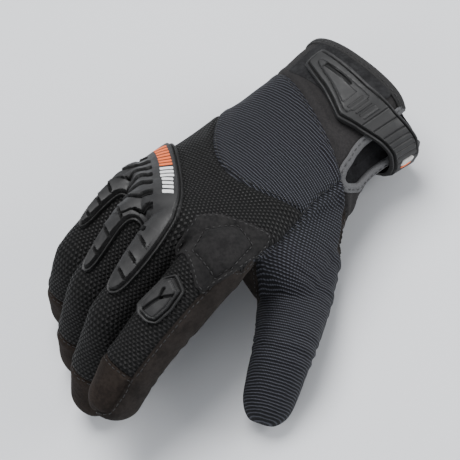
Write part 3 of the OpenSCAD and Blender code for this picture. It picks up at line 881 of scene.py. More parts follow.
def bend_of(region):
    """The two bodies that a region's cloth joins, and where it turns from one to the other."""
    if region == "thumb_root":
        d, cut, last = THUMB_SPLIT
        c = joint_at("thumb_knuckle")
        start, end = (tuple(to_row(c + d * (at - c @ d) / (d @ d))) for at in (cut + 1, last))
        return "hand", "thumb_root", start, end
    if region == "thumb_tip":
        return "thumb_root", "thumb_tip", *bend_points(limbs["thumb"], *THUMB_END_BEND)
    name, part = region.split("_")
    _, middle, _, end = BENDS[name]
    if part == "root":
        return "hand", region, *bend_points(limbs[name], *KNUCKLE_BEND)
    if part == "middle":
        return name + "_root", region, *bend_points(limbs[name], *middle)
    return name + "_middle", region, *bend_points(limbs[name], *end)


WHOLE_BODIES = ("hand", "strap_middle", "strap_end")      # a piece on these does not bend


def settle(obj, region, slot, *nodes):
    """Rides the piece on its body, or bakes its place into its points where it lies across a joint,
    and hides the parts that it stands for.
    """
    if region in WHOLE_BODIES:
        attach(obj, region)
    else:
        before, after, start, end = bend_of(region)
        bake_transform(obj)
    if nodes:
        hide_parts(*nodes)
    return obj


# ---------------------------------------------------------------- materials

class Shader:
    """A node material: each method adds one node and returns its output."""

    def __init__(self, name, base, roughness, **sockets):
        self.material = bpy.data.materials.new(name)
        self.material.use_nodes = True
        self.tree = self.material.node_tree
        self.bsdf = self.tree.nodes["Principled BSDF"]
        self.material.diffuse_color = (*base, 1)
        self.bsdf.inputs["Base Color"].default_value = (*base, 1)
        self.bsdf.inputs["Roughness"].default_value = roughness
        for socket, value in sockets.items():
            self.bsdf.inputs[socket.replace("_", " ")].default_value = value

    def add(self, kind, settings=None, **inputs):
        node = self.tree.nodes.new(kind)
        for key, value in (settings or {}).items():
            setattr(node, key, value)
        for key, value in inputs.items():
            numbered = key[0] == "i" and key[1:].isdigit()      # i0, i1 and so on
            socket = node.inputs[int(key[1:]) if numbered else key]
            if isinstance(value, bpy.types.NodeSocket):
                self.tree.links.new(value, socket)
            else:
                socket.default_value = value
        return node

    def math(self, operation, a, b=0.0, c=0.0):
        return self.add("ShaderNodeMath", {"operation": operation}, i0=a, i1=b, i2=c).outputs[0]

    def attribute(self, name):
        return self.add("ShaderNodeAttribute", {"attribute_name": name}).outputs["Vector"]

    def axes(self, vector):
        """The three numbers of a vector."""
        return self.add("ShaderNodeSeparateXYZ", i0=vector).outputs

    def noise(self, vector, scale, detail=3.0, roughness=0.55):
        return self.add("ShaderNodeTexNoise", Vector=vector, Scale=scale, Detail=detail,
                        Roughness=roughness).outputs["Fac"]

    def ramp(self, value, low, high, out_low=0.0, out_high=1.0):
        return self.add("ShaderNodeMapRange", {"interpolation_type": "SMOOTHSTEP"}, Value=value,
                        **{"i1": low, "i2": high, "i3": out_low, "i4": out_high}).outputs[0]

    def wave(self, value, pitch):
        return self.math("SINE", self.math("MULTIPLY", value, 2 * math.pi / pitch))

    def woven(self):
        """Across and along the cloth in millimetres, and the point's own place."""
        return (*self.axes(self.attribute("weave"))[:2], self.attribute("place"))

    def mix(self, fac, a, b):
        colours = [(*c, 1) if isinstance(c, tuple) else c for c in (a, b)]
        node = self.add("ShaderNodeMix", {"data_type": "RGBA"}, i0=fac, i6=colours[0], i7=colours[1])
        return node.outputs[2]

    def colour(self, socket):
        self.tree.links.new(socket, self.bsdf.inputs["Base Color"])

    def rough(self, socket):
        self.tree.links.new(socket, self.bsdf.inputs["Roughness"])

    def bump(self, *layers):
        """Each layer is a height, how high it is in millimetres and how strong it shows."""
        normal = None
        for height, distance, strength in layers:
            extra = {"Normal": normal} if normal else {}
            normal = self.add("ShaderNodeBump", Height=height, Strength=strength,
                              Distance=distance / 1000, **extra).outputs[0]
        self.tree.links.new(normal, self.bsdf.inputs["Normal"])


def tinted(colour, factor):
    return tuple(c * factor for c in colour)


RIB_PITCH, RIB_CELL = 1.38, 0.85      # from rib to rib, and from stitch to stitch along a rib


def rib_knit():
    m = Shader("rib_knit", (0.016, 0.017, 0.023), 0.72, Specular_IOR_Level=0.18)
    across, along, place = m.woven()
    drift = m.noise(place, 0.12, 2)
    along = m.math("MULTIPLY_ADD", drift, 1.1, along)
    ridge = m.wave(along, RIB_PITCH)
    cells = m.wave(across, RIB_CELL)
    broken = m.math("MULTIPLY_ADD", cells, 0.34, ridge)
    thread = m.ramp(broken, 0.3, 1.15)
    lint = m.noise(place, 3.0, 4)
    # the ridges are painted light as highlight and the gaps between them painted near-black as shade;
    # the lint noise adds random tone
    ridge_highlight_and_lint = m.math("MULTIPLY", thread, m.ramp(lint, 0.25, 0.7, 0.45, 1.0))
    m.colour(m.mix(ridge_highlight_and_lint, (0.0026, 0.0027, 0.0040), (0.066, 0.069, 0.084)))
    m.rough(m.ramp(lint, 0.2, 0.8, 0.62, 0.85))
    m.bump((m.ramp(broken, -1, 1), 0.45, 0.9), (lint, 0.1, 0.5))
    return m.material


MESH_ROW, MESH_HOLE = 1.65, 2.15      # the net's pitch along and across


def air_mesh():
    m = Shader("air_mesh", (0.012, 0.012, 0.013), 0.7, Specular_IOR_Level=0.18)
    across, along, place = m.woven()
    drift = m.noise(place, 0.1, 2)
    along = m.math("MULTIPLY_ADD", drift, 1.2, along)
    row = m.wave(along, MESH_ROW)
    stagger = m.math("MULTIPLY", m.math("FLOOR", m.math("DIVIDE", along, MESH_ROW)), MESH_HOLE / 2)
    holes = m.wave(m.math("ADD", across, stagger), MESH_HOLE)
    height = m.math("MULTIPLY_ADD", holes, 0.85, m.math("MULTIPLY", row, 0.75))
    fuzz = m.noise(place, 4.0, 4)
    lit = m.math("MULTIPLY", m.ramp(height, 0.1, 1.3), m.ramp(fuzz, 0.3, 0.7, 0.5, 1.0))
    m.colour(m.mix(lit, (0.0018, 0.0018, 0.0018), (0.0172, 0.0165, 0.0162)))
    m.rough(m.ramp(height, -1, 1.4, 0.9, 0.55))
    m.bump((m.ramp(height, -1.3, 1.3), 0.6, 1.0), (fuzz, 0.1, 0.4))
    return m.material


def suede(name, low, high):
    m = Shader(name, high, 0.93, Specular_IOR_Level=0.12, Sheen_Weight=0.06, Sheen_Roughness=0.5)
    m.bsdf.inputs["Sheen Tint"].default_value = (*[c ** 0.5 for c in high], 1)
    place = m.attribute("place")
    patches = m.noise(place, 0.11, 4, 0.6)
    grain = m.noise(place, 2.6, 5, 0.7)
    brushed = m.noise(place, 0.6, 3)
    tone = m.math("ADD", m.math("MULTIPLY", patches, 0.55), m.math("MULTIPLY", brushed, 0.45))
    base = m.mix(m.ramp(tone, 0.36, 0.64), low, high)
    m.colour(m.mix(m.ramp(grain, 0.5, 0.75, 0, 0.35), base, tinted(high, 1.9)))
    m.rough(m.ramp(grain, 0.2, 0.8, 0.85, 1.0))
    m.bump((grain, 0.18, 0.8), (brushed, 0.25, 0.5))
    return m.material


def rubber(name, base, roughness):
    m = Shader(name, base, roughness, Specular_IOR_Level=0.3)
    place = m.attribute("place")
    grain = m.noise(place, 5.0, 3)
    scuff = m.noise(place, 0.35, 5, 0.7)
    m.colour(m.mix(m.ramp(scuff, 0.45, 0.7), base, tinted(base, 1.45)))
    m.rough(m.ramp(scuff, 0.3, 0.7, roughness - 0.07, roughness + 0.12))
    m.bump((grain, 0.05, 0.5), (scuff, 0.12, 0.25))
    return m.material


def neoprene():
    m = Shader("neoprene", (0.032, 0.030, 0.031), 0.85, Specular_IOR_Level=0.15)
    place = m.attribute("place")
    x, y, z = m.axes(place)
    knit = m.math("MULTIPLY", m.wave(m.math("ADD", y, z), 0.55), m.wave(x, 0.6))
    dust = m.noise(place, 0.9, 5, 0.7)
    m.colour(m.mix(m.ramp(dust, 0.35, 0.7), (0.0125, 0.0118, 0.0122), (0.023, 0.0215, 0.0215)))
    m.rough(m.ramp(dust, 0.3, 0.7, 0.78, 0.92))
    m.bump((knit, 0.08, 0.5), (dust, 0.1, 0.4))
    return m.material


def tape(name, base):
    m = Shader(name, base, 0.7, Specular_IOR_Level=0.2)
    across, along, place = m.woven()
    twill = m.wave(m.math("ADD", along, across), 0.7)
    fuzz = m.noise(place, 3.0, 4)
    m.colour(m.mix(m.ramp(m.math("MULTIPLY_ADD", twill, 0.3, fuzz), 0.2, 0.8),
                   tinted(base, 0.55), tinted(base, 1.25)))
    m.bump((twill, 0.12, 0.7), (fuzz, 0.08, 0.4))
    return m.material


def thread(name, base):
    m = Shader(name, base, 0.55)
    place = m.attribute("place")
    x, y, z = m.axes(place)
    ply = m.wave(m.math("ADD", m.math("ADD", x, y), z), 0.5)
    m.colour(m.mix(m.ramp(ply, -1, 1), tinted(base, 0.6), tinted(base, 1.3)))
    m.bump((ply, 0.08, 0.7))
    return m.material


MATERIALS = {
    "rib": rib_knit(), "thumb": rib_knit(), "mesh": air_mesh(),
    "palm": suede("suede", (0.0085, 0.0070, 0.0062), (0.019, 0.0155, 0.0138)),
    "cap": suede("cap_suede", (0.0082, 0.0060, 0.0050), (0.0185, 0.0138, 0.0113)),
    "web": suede("web_suede", (0.0066, 0.0064, 0.0066), (0.0150, 0.0143, 0.0143)),
    "cuff": neoprene(), "guard": rubber("guard_rubber", (0.0135, 0.0133, 0.0134), 0.52),
    "strap": rubber("strap_rubber", (0.0100, 0.0100, 0.0102), 0.52),
    # a near-black rubber for the sunk slots and grooves of the mouldings: painted shade
    "slot_shade": rubber("rubber_slot_shade", (0.0028, 0.0028, 0.0028), 0.7),
    "tape": tape("binding_tape", (0.082, 0.082, 0.085)),
    "rim_tape": tape("rim_tape", (0.020, 0.0195, 0.0195)),
    "dark_tape": tape("dark_tape", (0.010, 0.010, 0.0105)),
    "thread": thread("thread", (0.007, 0.007, 0.008)),
    "grey_thread": thread("grey_thread", (0.0095, 0.0092, 0.0092)),
    "seam_thread": thread("seam_thread", (0.0075, 0.0072, 0.0078)),
    "lining": suede("lining_fleece", (0.004, 0.004, 0.0045), (0.009, 0.009, 0.010)),
    "loop": suede("loop_pile", (0.008, 0.008, 0.0085), (0.019, 0.019, 0.020)),
    "hook": thread("hook_tape", (0.012, 0.012, 0.0125)),
    "label": tape("woven_label", (0.55, 0.54, 0.52)),
    "foam": suede("pad_foam", (0.05, 0.05, 0.052), (0.08, 0.08, 0.084)),
    "orange": thread("orange_print", (0.78, 0.13, 0.015)),
    "white": thread("white_print", (0.72, 0.72, 0.72)),
}
SLOT_OF = {"rib": "rib_knit", "thumb": "rib_knit", "mesh": "air_mesh", "palm": "suede",
           "cap": "suede", "cuff_back": "neoprene", "cuff_palm": "neoprene"}


# ---------------------------------------------------------------- the view, the floor and the lights

VIEW_TURN, VIEW_RISE, VIEW_ROLL = math.radians(-129.49), math.radians(46.73), math.radians(-0.44)
VIEW_DISTANCE = 900.0
VIEW_TARGET = (-36.5, -42.5)      # what the camera looks at: right and up from the wrist's middle
LENS_MM, SENSOR_MM = 137.35, 36
FLOOR_HALF = 3.0


def view_axes():
    """The view's right, up and outward directions, in hand coordinates."""
    out = np.array([math.sin(VIEW_TURN) * math.cos(VIEW_RISE),
                    -math.cos(VIEW_TURN) * math.cos(VIEW_RISE), math.sin(VIEW_RISE)])
    right = unit(np.cross((0, 0, 1), out))
    up = np.cross(out, right)
    c, s = math.cos(VIEW_ROLL), math.sin(VIEW_ROLL)
    return right * c + up * s, up * c - right * s, out


def add_camera():
    right, up, out = view_axes()
    target = right * VIEW_TARGET[0] + up * VIEW_TARGET[1]
    camera = add_object("camera", bpy.data.cameras.new("camera"))
    camera.data.lens = LENS_MM
    camera.data.sensor_width = SENSOR_MM
    turn = np.array([to_row_direction(v) for v in (right, up, out)]).T
    place = Matrix.Translation(to_row(target + out * VIEW_DISTANCE))
    camera.matrix_world = place @ Matrix(turn.tolist()).to_4x4()
    bpy.context.scene.camera = camera


def add_light(name, across, height, toward, size, power):
    """An area light placed by the view's own directions, in metres from the glove."""
    right, up, out = (Vector(to_row_direction(v)) for v in view_axes())
    middle = (Vector(cad_box[0]) + Vector(cad_box[1])) / 2
    place = middle + right * across + up * height + out * toward
    light = add_object(name, bpy.data.lights.new(name, "AREA"))
    light.data.shape = "DISK"
    light.data.size = size
    light.data.energy = power
    light.location = place
    light.rotation_euler = (middle - place).to_track_quat("-Z", "Y").to_euler()


def add_stage():
    low, side = cad_box[0][2], FLOOR_HALF
    corners = [(-side, -side, low), (side, -side, low), (side, side, low), (-side, side, low)]
    floor = add_object("floor", mesh_of("floor", corners, [(0, 1, 2, 3)]))
    floor.data.materials.append(Shader("pale_floor", (0.62, 0.63, 0.65), 0.8).material)
    world = bpy.data.worlds.new("studio")
    world.use_nodes = True
    sky = world.node_tree.nodes["Background"].inputs
    sky["Color"].default_value = (0.80, 0.84, 0.90, 1)
    sky["Strength"].default_value = 0.55
    bpy.context.scene.world = world


def add_lights():
    add_light("key", -0.35, 0.9, 0.7, 0.9, 26)
    add_light("side", 0.9, 0.25, 0.5, 0.7, 12)
    add_light("fill", -0.7, -0.5, 0.8, 1.0, 6)


# ---------------------------------------------------------------- the cloth panels

CLOTH_THICKNESS = 1.4

NODES_OF = {
    ("mesh", "hand"): ["back_mesh_panel"], ("rib", "hand"): ["back_rib_panel"],
    ("palm", "hand"): ["palm_panel", "thumb_base_palm"], ("thumb", "hand"): ["thumb_base_rib"],
    ("cuff_back", "hand"): ["cuff_back_panel"], ("cuff_palm", "hand"): ["cuff_palm_panel"],
    ("thumb", "thumb_root"): ["thumb_root_back"], ("palm", "thumb_root"): ["thumb_root_palm"],
    ("thumb", "thumb_tip"): ["thumb_tip_back"], ("palm", "thumb_tip"): ["thumb_tip_palm"]}
for finger in FINGERS:
    for part, short in (("root", "root"), ("middle", "mid")):
        NODES_OF["mesh", f"{finger}_{part}"] = [f"{finger}_{short}_back"]
        NODES_OF["palm", f"{finger}_{part}"] = [f"{finger}_{short}_palm"]
    NODES_OF["cap", finger + "_tip"] = [finger + "_tip"]
NODES_OF["cap", "index_tip"] = ["index_tip_back"]
NODES_OF["palm", "index_tip"] = ["index_tip_palm"]
PIECE_NAMES = {"mesh": "mesh", "rib": "rib_back", "palm": "suede", "thumb": "rib",
               "cap": "suede_cap", "cuff_back": "cuff_back", "cuff_palm": "cuff_palm"}


def cloth_panels(skin, panel, region):
    """One closed sheet for each panel in each moving part."""
    normals = vertex_normals(skin.p, skin.t)
    weave, thumb = weave_map(skin), thumb_weave(skin)
    for kind, place in sorted(set(zip(panel, region))):
        if kind == "none":
            continue
        tris = skin.t[(panel == kind) & (region == place)]
        points, faces, used, wall = shell(skin.p, tris, normals, CLOTH_THICKNESS)
        cloth = (thumb if kind == "thumb" else weave)[used]
        material = MATERIALS["cuff" if kind.startswith("cuff") else kind]
        obj = make_piece(f"{place}_{PIECE_NAMES[kind]}", points, faces, [material],
                         weave=np.concatenate([cloth, cloth]), sharp=wall)
        settle(obj, place, SLOT_OF[kind], *NODES_OF.get((kind, place), []))


# ---------------------------------------------------------------- raised rubber and padded patches

def smooth_outline(corners, rounds=3, closed=True):
    """Cuts the corners of an outline a few times, which rounds them."""
    p = np.asarray(corners, float)
    for _ in range(rounds):
        q = np.roll(p, -1, 0) if closed else p[1:]
        p0 = p if closed else p[:-1]
        cut = np.stack([p0 * 0.75 + q * 0.25, p0 * 0.25 + q * 0.75], 1).reshape(-1, p.shape[1])
        p = cut if closed else np.concatenate([p[:1], cut, p[-1:]])
    return p


def marks_along(line):
    """How far along a line each of its points lies."""
    return np.concatenate([[0], np.cumsum(np.linalg.norm(np.diff(line, axis=0), axis=1))])


def columns(values):
    return np.stack(list(values), 1)


def running_mean(rows, half):
    """Each row averaged with the rows up to half before and behind it."""
    flat = np.ones(2 * half + 1) / (2 * half + 1)
    return columns(np.convolve(np.pad(v, half, "edge"), flat, "valid") for v in rows.T)


def resample(line, step, closed=False):
    """Points a step apart along a line; a closed line does not repeat its first point."""
    line = np.asarray(line, float)
    if closed:
        line = np.concatenate([line, line[:1]])
    mark = marks_along(line)
    n = max(2, int(round(mark[-1] / step)) + 1)
    out = columns(np.interp(np.linspace(0, mark[-1], n), mark, v) for v in line.T)
    return out[:-1] if closed else out


def line_distance(points, line, closed=False):
    """Distance of each 2-D point to a polyline, and how far along the line its nearest point is."""
    line = np.asarray(line, float)
    a = line
    b = np.roll(line, -1, 0) if closed else line[1:]
    a = a if closed else a[:-1]
    best, along = np.full(len(points), 1e9), np.zeros(len(points))
    start = np.concatenate([[0], np.cumsum(np.linalg.norm(b - a, axis=1))])
    for i in range(len(a)):
        d = b[i] - a[i]
        t = np.clip(((points - a[i]) @ d) / max(d @ d, 1e-12), 0, 1)
        r = np.linalg.norm(points - a[i] - t[:, None] * d, axis=1)
        near = r < best
        best[near] = r[near]
        along[near] = start[i] + t[near] * np.linalg.norm(d)
    return best, along


def inside(points, outline):
    x, y = points.T
    odd = np.zeros(len(points), bool)
    for (x0, y0), (x1, y1) in zip(outline, np.roll(outline, -1, 0)):
        if y0 != y1:
            odd ^= ((y0 > y) != (y1 > y)) & (x < (x1 - x0) * (y - y0) / (y1 - y0) + x0)
    return odd


def filled(outline, step):
    """An outline filled with even triangles: 2-D points, triangles and distance to the outline."""
    edge = resample(outline, step, closed=True)
    low, high = edge.min(0), edge.max(0)
    xs, ys = np.arange(low[0], high[0], step), np.arange(low[1], high[1], step * 0.87)
    grid = np.array([(x + (step / 2 if j % 2 else 0), y) for j, y in enumerate(ys) for x in xs])
    grid = grid[inside(grid, edge)]
    grid = grid[line_distance(grid, edge, True)[0] > step * 0.55]
    points = [Vector(p) for p in np.concatenate([edge, grid])]
    links = [(i, (i + 1) % len(edge)) for i in range(len(edge))]
    points, _, faces, *_ = delaunay_2d_cdt(points, links, [], 1, 1e-6)
    points, tris = np.array([tuple(p) for p in points]), np.array([tuple(f) for f in faces])
    a, b, c = points[tris[:, 0]], points[tris[:, 1]], points[tris[:, 2]]
    area = (b - a)[:, 0] * (c - a)[:, 1] - (b - a)[:, 1] * (c - a)[:, 0]
    tris[area < 0] = tris[area < 0][:, ::-1]
    return points, tris, line_distance(points, edge, True)[0]


class Surface:
    """The finished skin, to lay patches and rubber on. Normals are the mean of a face's corners."""

    def __init__(self, skin, keep, region):
        self.regions = region[keep]
        self.tree = BVHTree.FromPolygons([tuple(p) for p in skin.p], [tuple(t) for t in skin.t[keep]])
        self.normal = vertex_normals(skin.p, skin.t)
        self.tris = skin.t[keep]

    def drop(self, xy, toward=(0, 0, -1), height=90.0):
        """Lays 2-D points on the skin along a direction: points and smooth normals."""
        toward = Vector(toward).normalized()
        spots, normals = [], []
        for x, y in xy:
            start = Vector((x, y, 0)) - toward * height
            hit, _, face, _ = self.tree.ray_cast(start, toward)
            if hit is None:
                hit, _, face, _ = self.tree.find_nearest(Vector((x, y, -8)))
            spots.append(hit)
            normals.append(self.normal[self.tris[face]].mean(0))
        return np.array([tuple(s) for s in spots]), unit(np.array(normals))

    def lay(self, p, tris, rounds, toward=(0, 0, -1)):
        """Drops a patch on the skin and evens it: rounds for its points and for its normals."""
        spots, normals = self.drop(p, toward)
        return even(spots, tris, rounds[0]), unit(even(normals, tris, rounds[1]))

    def region_at(self, point):
        return self.regions[self.tree.find_nearest(Vector(point))[2]]

    def follow(self, points):
        """The nearest skin points and normals."""
        out = [self.tree.find_nearest(Vector(p)) for p in points]
        return (np.array([tuple(o[0]) for o in out]),
                unit(np.array([self.normal[self.tris[o[2]]].mean(0) for o in out])))


def step_up(d, at, width):
    """A step from 0 to 1 at a distance, as wide as width."""
    return smoothstep((d - at) / width + 0.5)


RELIEF_STEP = 0.42      # size of the triangles in rubber and patches

# outlines in hand coordinates, seen from above the back of the hand
GUARD_OUTLINE = [
    (41, 49.5), (28, 57), (14.5, 66), (3, 74), (-4, 79.5), (-10, 85), (-14.5, 91.5), (-17, 102),
    (-17.5, 112), (-17, 122), (-16, 128.5), (-13, 132), (-9.5, 132), (-6.5, 128), (-4, 118),
    (-2.5, 109), (-0.5, 102.5), (4, 99.5), (9, 100.5), (11, 105), (10.8, 114), (10, 123),
    (10.5, 127.5), (13, 129.5), (16, 128.5), (18.5, 122), (20.5, 112), (22, 102), (24.5, 93),
    (29, 88.5), (34, 88), (36, 92), (36.5, 100), (36.5, 107), (38, 112), (41, 112.5),
    (43.5, 109), (45.5, 100), (46.5, 88), (47, 76), (47, 64), (45.5, 54)]
BAND_INSIDE = [(47, 63), (36, 67.5), (23, 76), (13.5, 83.5), (1, 91), (-6.5, 99.5), (-9.8, 110),
               (-11.5, 121)]
BAND_MIDDLE = [(43, 56.5), (32, 62.5), (19, 71), (7.5, 79.5), (-3.5, 87.5), (-10.5, 95.5)]
PRONGS = {            # the middle line of each prong, and how far along its dark slots lie
    "middle": ([(-9, 101), (-10.5, 112), (-12, 122), (-12.5, 130)], (6.5, 14, 21.5)),
    "ring": ([(15, 97), (15.8, 106), (15, 116), (13.5, 126)], (5, 14, 22.5)),
    "little": ([(41, 86), (41.5, 95), (41, 103), (40, 110)], (4, 11.5, 19))}
GUARD_RIB_PITCH = 54.0 / 7        # seven ribs along the band


def lip_and_body(d, groove_at, body_rise):
    """The edge that all the rubber shares, from the distance d to its outline.

    It has a lip, a groove and the body's own step. Returns the height and where it is sunk.
    """
    groove = bell(d, groove_at, 0.4)
    h = 0.5 + 1.25 * step_up(d, 0.3, 0.4) - 0.95 * groove
    return h + body_rise * step_up(d, groove_at + 0.55, 0.45), groove > 0.55


def guard_ribs(p, body):
    """The plate's ribs: they run from the band toward the fingers, and each laps over the next."""
    inner, along = line_distance(p, smooth_outline(BAND_INSIDE, 2, False))
    xs, ys = np.array(BAND_INSIDE[::-1]).T
    beyond = (p[:, 1] > np.interp(p[:, 0], xs, ys)) & (p[:, 0] > -11.4)
    past = np.where(beyond, inner, -inner)
    on_plate = body * ((past > 0) & (p[:, 1] < 104))
    waver = 0.6 * np.sin(past / 8.5 * 2 * math.pi + along / 9) * smoothstep(past / 3)
    place = (along + waver + 0.42 * past) / GUARD_RIB_PITCH
    off = place - np.round(place)
    lap = np.where(off > 0, off - 0.5, off + 0.5)
    width = np.interp(past, [0.4, 3, 10, 17], [1.5, 1.25, 0.65, 0.0])
    slot = 1 - step_up(np.abs(off) * GUARD_RIB_PITCH, width, 0.35)
    slot *= step_up(past, 0.5, 0.4) * (past < 17) * on_plate
    rise = 1.1 * lap * step_up(past, 0.8, 0.5) * smoothstep((21 - past) / 5) * on_plate
    return rise - 2.1 * slot, slot


def prong_dents(p, body, line, at):
    """A slanting slot across a prong, painted dark as shade, and the scale that rises toward it."""
    off, run = line_distance(p, line)
    near = body * ((off < 6.5) & (p[:, 1] > line[0][1]))
    middle = np.interp(run, [0, 30], [line[0][0], line[-1][0]])
    slant = run - at + (p[:, 0] - middle) * 0.45
    dent = (1 - step_up(np.abs(slant), 0.7, 0.4)) * (1 - step_up(off, 2.5, 0.5)) * near
    scale = 0.7 * np.exp(np.minimum(slant + 0.7, 0) / 2.5) * (slant < 0) * (off < 4) * near
    return scale - 1.9 * dent, dent


def guard_height(p, d):
    """The knuckle guard's relief above the cloth, and where it is sunk into slots that are painted
    dark as shade.
    """
    h, sunk = lip_and_body(d, 1.6, 1.45)
    body = step_up(d, 2.3, 0.5)
    reliefs = [guard_ribs(p, body)]
    for line, slots in PRONGS.values():
        line = smooth_outline(line, 2, False)
        reliefs += [prong_dents(p, body, line, at) for at in slots]
    for relief, slot in reliefs:
        h += relief
        sunk |= slot > 0.5
    return np.maximum(h, 0.3), sunk


def rubber_piece(name, top, bottom, tris, sunk, kind="guard", flip=False):
    """A closed moulding; the faces of its top that are sunk get a near-black rubber as painted shade.
    """
    points, faces, _ = closed_relief(top, bottom, tris, flip)
    numbers = np.zeros(len(faces), int)
    # sunk faces take the second, near-black material: painted shade
    numbers[:len(tris)] = sunk[tris].mean(1) > 0.5
    return make_piece(name, points, faces, [MATERIALS[kind], MATERIALS["slot_shade"]], numbers, angle=40)


RUBBER_DEPTH = 0.5           # how far the underside of the mouldings lies inside the cloth


def knuckle_guard(surface):
    """One moulding, parted where each finger's knuckle bend begins."""
    p, tris, d = filled(smooth_outline(GUARD_OUTLINE, 2), RELIEF_STEP)
    spots, normals = surface.lay(p, tris, (6, 12))
    height, sunk = guard_height(p, d)
    top = spots + normals * (height + 0.55)[:, None]
    bottom = spots - normals * RUBBER_DEPTH
    part = np.full(len(tris), "hand", dtype=object)
    mid = spots[tris].mean(1)
    for name in FINGERS[1:]:
        c, t = limbs[name].at(KNUCKLE_BEND[0] - 1)[:2]
        part[(lane_of(mid[:, 0]) == FINGERS.index(name)) & ((mid - c) @ t > 0)] = name + "_root"
    names = {"hand": "knuckle_guard", **{name + "_root": name + "_prong" for name in FINGERS[1:]}}
    for region, name in names.items():
        obj = rubber_piece(name, top, bottom, tris[part == region], sunk)
        settle(obj, region, "guard_rubber", name)


STRIPES = (("orange", 3.0), ("white", 28.5))      # where each row of bars starts along the band
STRIPE_COUNT, STRIPE_PITCH, STRIPE_WIDTH = 7, 3.55, 2.3      # bars in a row, and their size


def guard_stripes(surface):
    """Plain printed bars along the guard's band, orange and then white."""
    line = resample(smooth_outline(BAND_MIDDLE, 2, False), 0.25)
    runs = marks_along(line)
    for colour, first in STRIPES:
        parts = []
        for at in first + STRIPE_PITCH * np.arange(STRIPE_COUNT):
            a, b = (np.array([np.interp(x, runs, v) for v in line.T]) for x in (at, at + STRIPE_WIDTH))
            along = unit(b - a)
            across = np.array([-along[1], along[0]])
            lean = along * 1.2
            reach = 3.1 if at < 38 else 2.6
            quad = [a - across * reach - lean, b - across * reach - lean,
                    b + across * reach + lean, a + across * reach + lean]
            p, tris, _ = filled(smooth_outline(resample(quad, 0.8, True), 1), 0.5)
            spots, normals = surface.lay(p, tris, (0, 10))
            points, faces, _ = closed_relief(spots + normals * 3.95, spots + normals * 3.0, tris)
            parts.append((points, faces))
        points, faces = merged(parts)
        obj = make_piece(f"guard_stripes_{colour}", points, faces, [MATERIALS[colour]], angle=50)
        settle(obj, "hand", colour + "_print", "guard_stripe_" + colour)


PAD_FRAMES = 20             # frames of cloth simulation for a pad
PAD_PRESSURE = 10.0
PAD_STIFFNESS = 25.0
PAD_GRAIN = 1.8             # size of the pad's triangles
PAD_SCALE = 0.01            # simulation metres for each millimetre of the glove


def pad_rise(outline, reach, p):
    """How far padding lifts cloth that is sewn down round an outline, at each point p.

    Blender's cloth blows up a flat pad whose edge and underside are held; the lift is capped at reach.
    """
    flat, tris, d = filled(outline, PAD_GRAIN)
    top = np.concatenate([flat, (0.6 * smoothstep(d / 2.5))[:, None]], 1)
    under = np.concatenate([flat, (0 * d - 0.2)[:, None]], 1)
    points, faces, used = closed_relief(top, under, tris)
    pad = add_object("pad_form", mesh_of("pad_form", points * PAD_SCALE, faces))
    count = len(used)
    held = [i for i in range(2 * count) if i >= count or d[used[i]] < 0.5]
    pad.vertex_groups.new(name="sewn").add(held, 1.0, "REPLACE")
    cloth = pad.modifiers.new("cloth", "CLOTH")
    cloth.settings.vertex_group_mass = "sewn"
    cloth.settings.use_pressure = True
    cloth.settings.uniform_pressure_force = PAD_PRESSURE
    cloth.settings.effector_weights.gravity = 0.0
    cloth.settings.tension_stiffness = PAD_STIFFNESS
    cloth.settings.compression_stiffness = PAD_STIFFNESS
    cloth.collision_settings.use_collision = False
    cloth.point_cache.frame_end = PAD_FRAMES
    for step in range(1, PAD_FRAMES + 1):
        bpy.context.scene.frame_set(step)
    blown = pad.evaluated_get(bpy.context.evaluated_depsgraph_get()).data.vertices
    lift = np.array([blown[i].co.z for i in range(count)]) / PAD_SCALE
    bpy.data.objects.remove(pad)
    bpy.context.scene.frame_set(1)
    lift = np.clip(lift, 0, None) * min(1, reach / max(lift.max(), 0.01))
    tree = tree_of(level(flat[used]))
    rise = np.zeros(len(p))
    for i in np.flatnonzero(inside(p, outline)):
        near = tree.find_n((*p[i], 0), 6)
        weight = np.array([1 / (n[2] + 0.3) ** 2 for n in near])
        rise[i] = weight @ lift[[n[1] for n in near]] / weight.sum()
    return rise


SIDE_TOWARD = unit((0.45, -0.1, -0.88))     # from beside the index finger's free side


def flat_on(points, toward):
    """Where points of the glove lie in the plane z = 0, seen along a direction."""
    points = np.asarray(points, float)
    return (points - points[:, 2:] / toward[2] * np.asarray(toward))[:, :2]


def tight(corners):
    """An outline with straight sides and only its corners eased."""
    return smooth_outline(resample(corners, 1.6, True), 2)


# where the corners of the index guard and of the web patch lie on the glove
INDEX_GUARD_OUTLINE = [(-29.2, 127.8, -3), (-32.2, 114, 8.8), (-36.8, 109.6, 12), (-45, 112, 8.6),
                       (-46.2, 121, 3), (-44.4, 129.3, -2.5), (-40, 131.6, -3.2), (-33, 131.4, -3.6)]


FORKS = (([(0.3, 7.2), (0, -0.5)], 0.8), ([(0, -0.5), (-2.9, -5.6)], 0.7),
         ([(0, -0.5), (2.5, -4.6)], 0.6))       # from the guard's middle, with half widths


def index_guard(surface):
    """A lipped plate on the index finger, with a forked groove in its raised middle."""
    outline = tight(flat_on(INDEX_GUARD_OUTLINE, SIDE_TOWARD))
    p, tris, d = filled(outline, RELIEF_STEP * 0.8)
    spots, normals = surface.lay(p, tris, (6, 16), SIDE_TOWARD)
    h, sunk = lip_and_body(d, 1.7, 1.5)
    h += 0.4 * step_up(d, 3.5, 0.3) - 0.35 * bell(d, 3.1, 0.3)
    for line, wide in FORKS:
        off = line_distance(p, p.mean(0) + np.array(line))[0]
        dent = (1 - step_up(off, wide, 0.4)) * step_up(d, 3.2, 0.4)
        h -= 1.5 * dent
        sunk |= dent > 0.6
    top = spots + normals * (h + 0.5)[:, None]
    obj = rubber_piece("index_guard", top, spots - normals * RUBBER_DEPTH, tris, sunk)
    settle(obj, "index_middle", "guard_rubber", "index_guard")


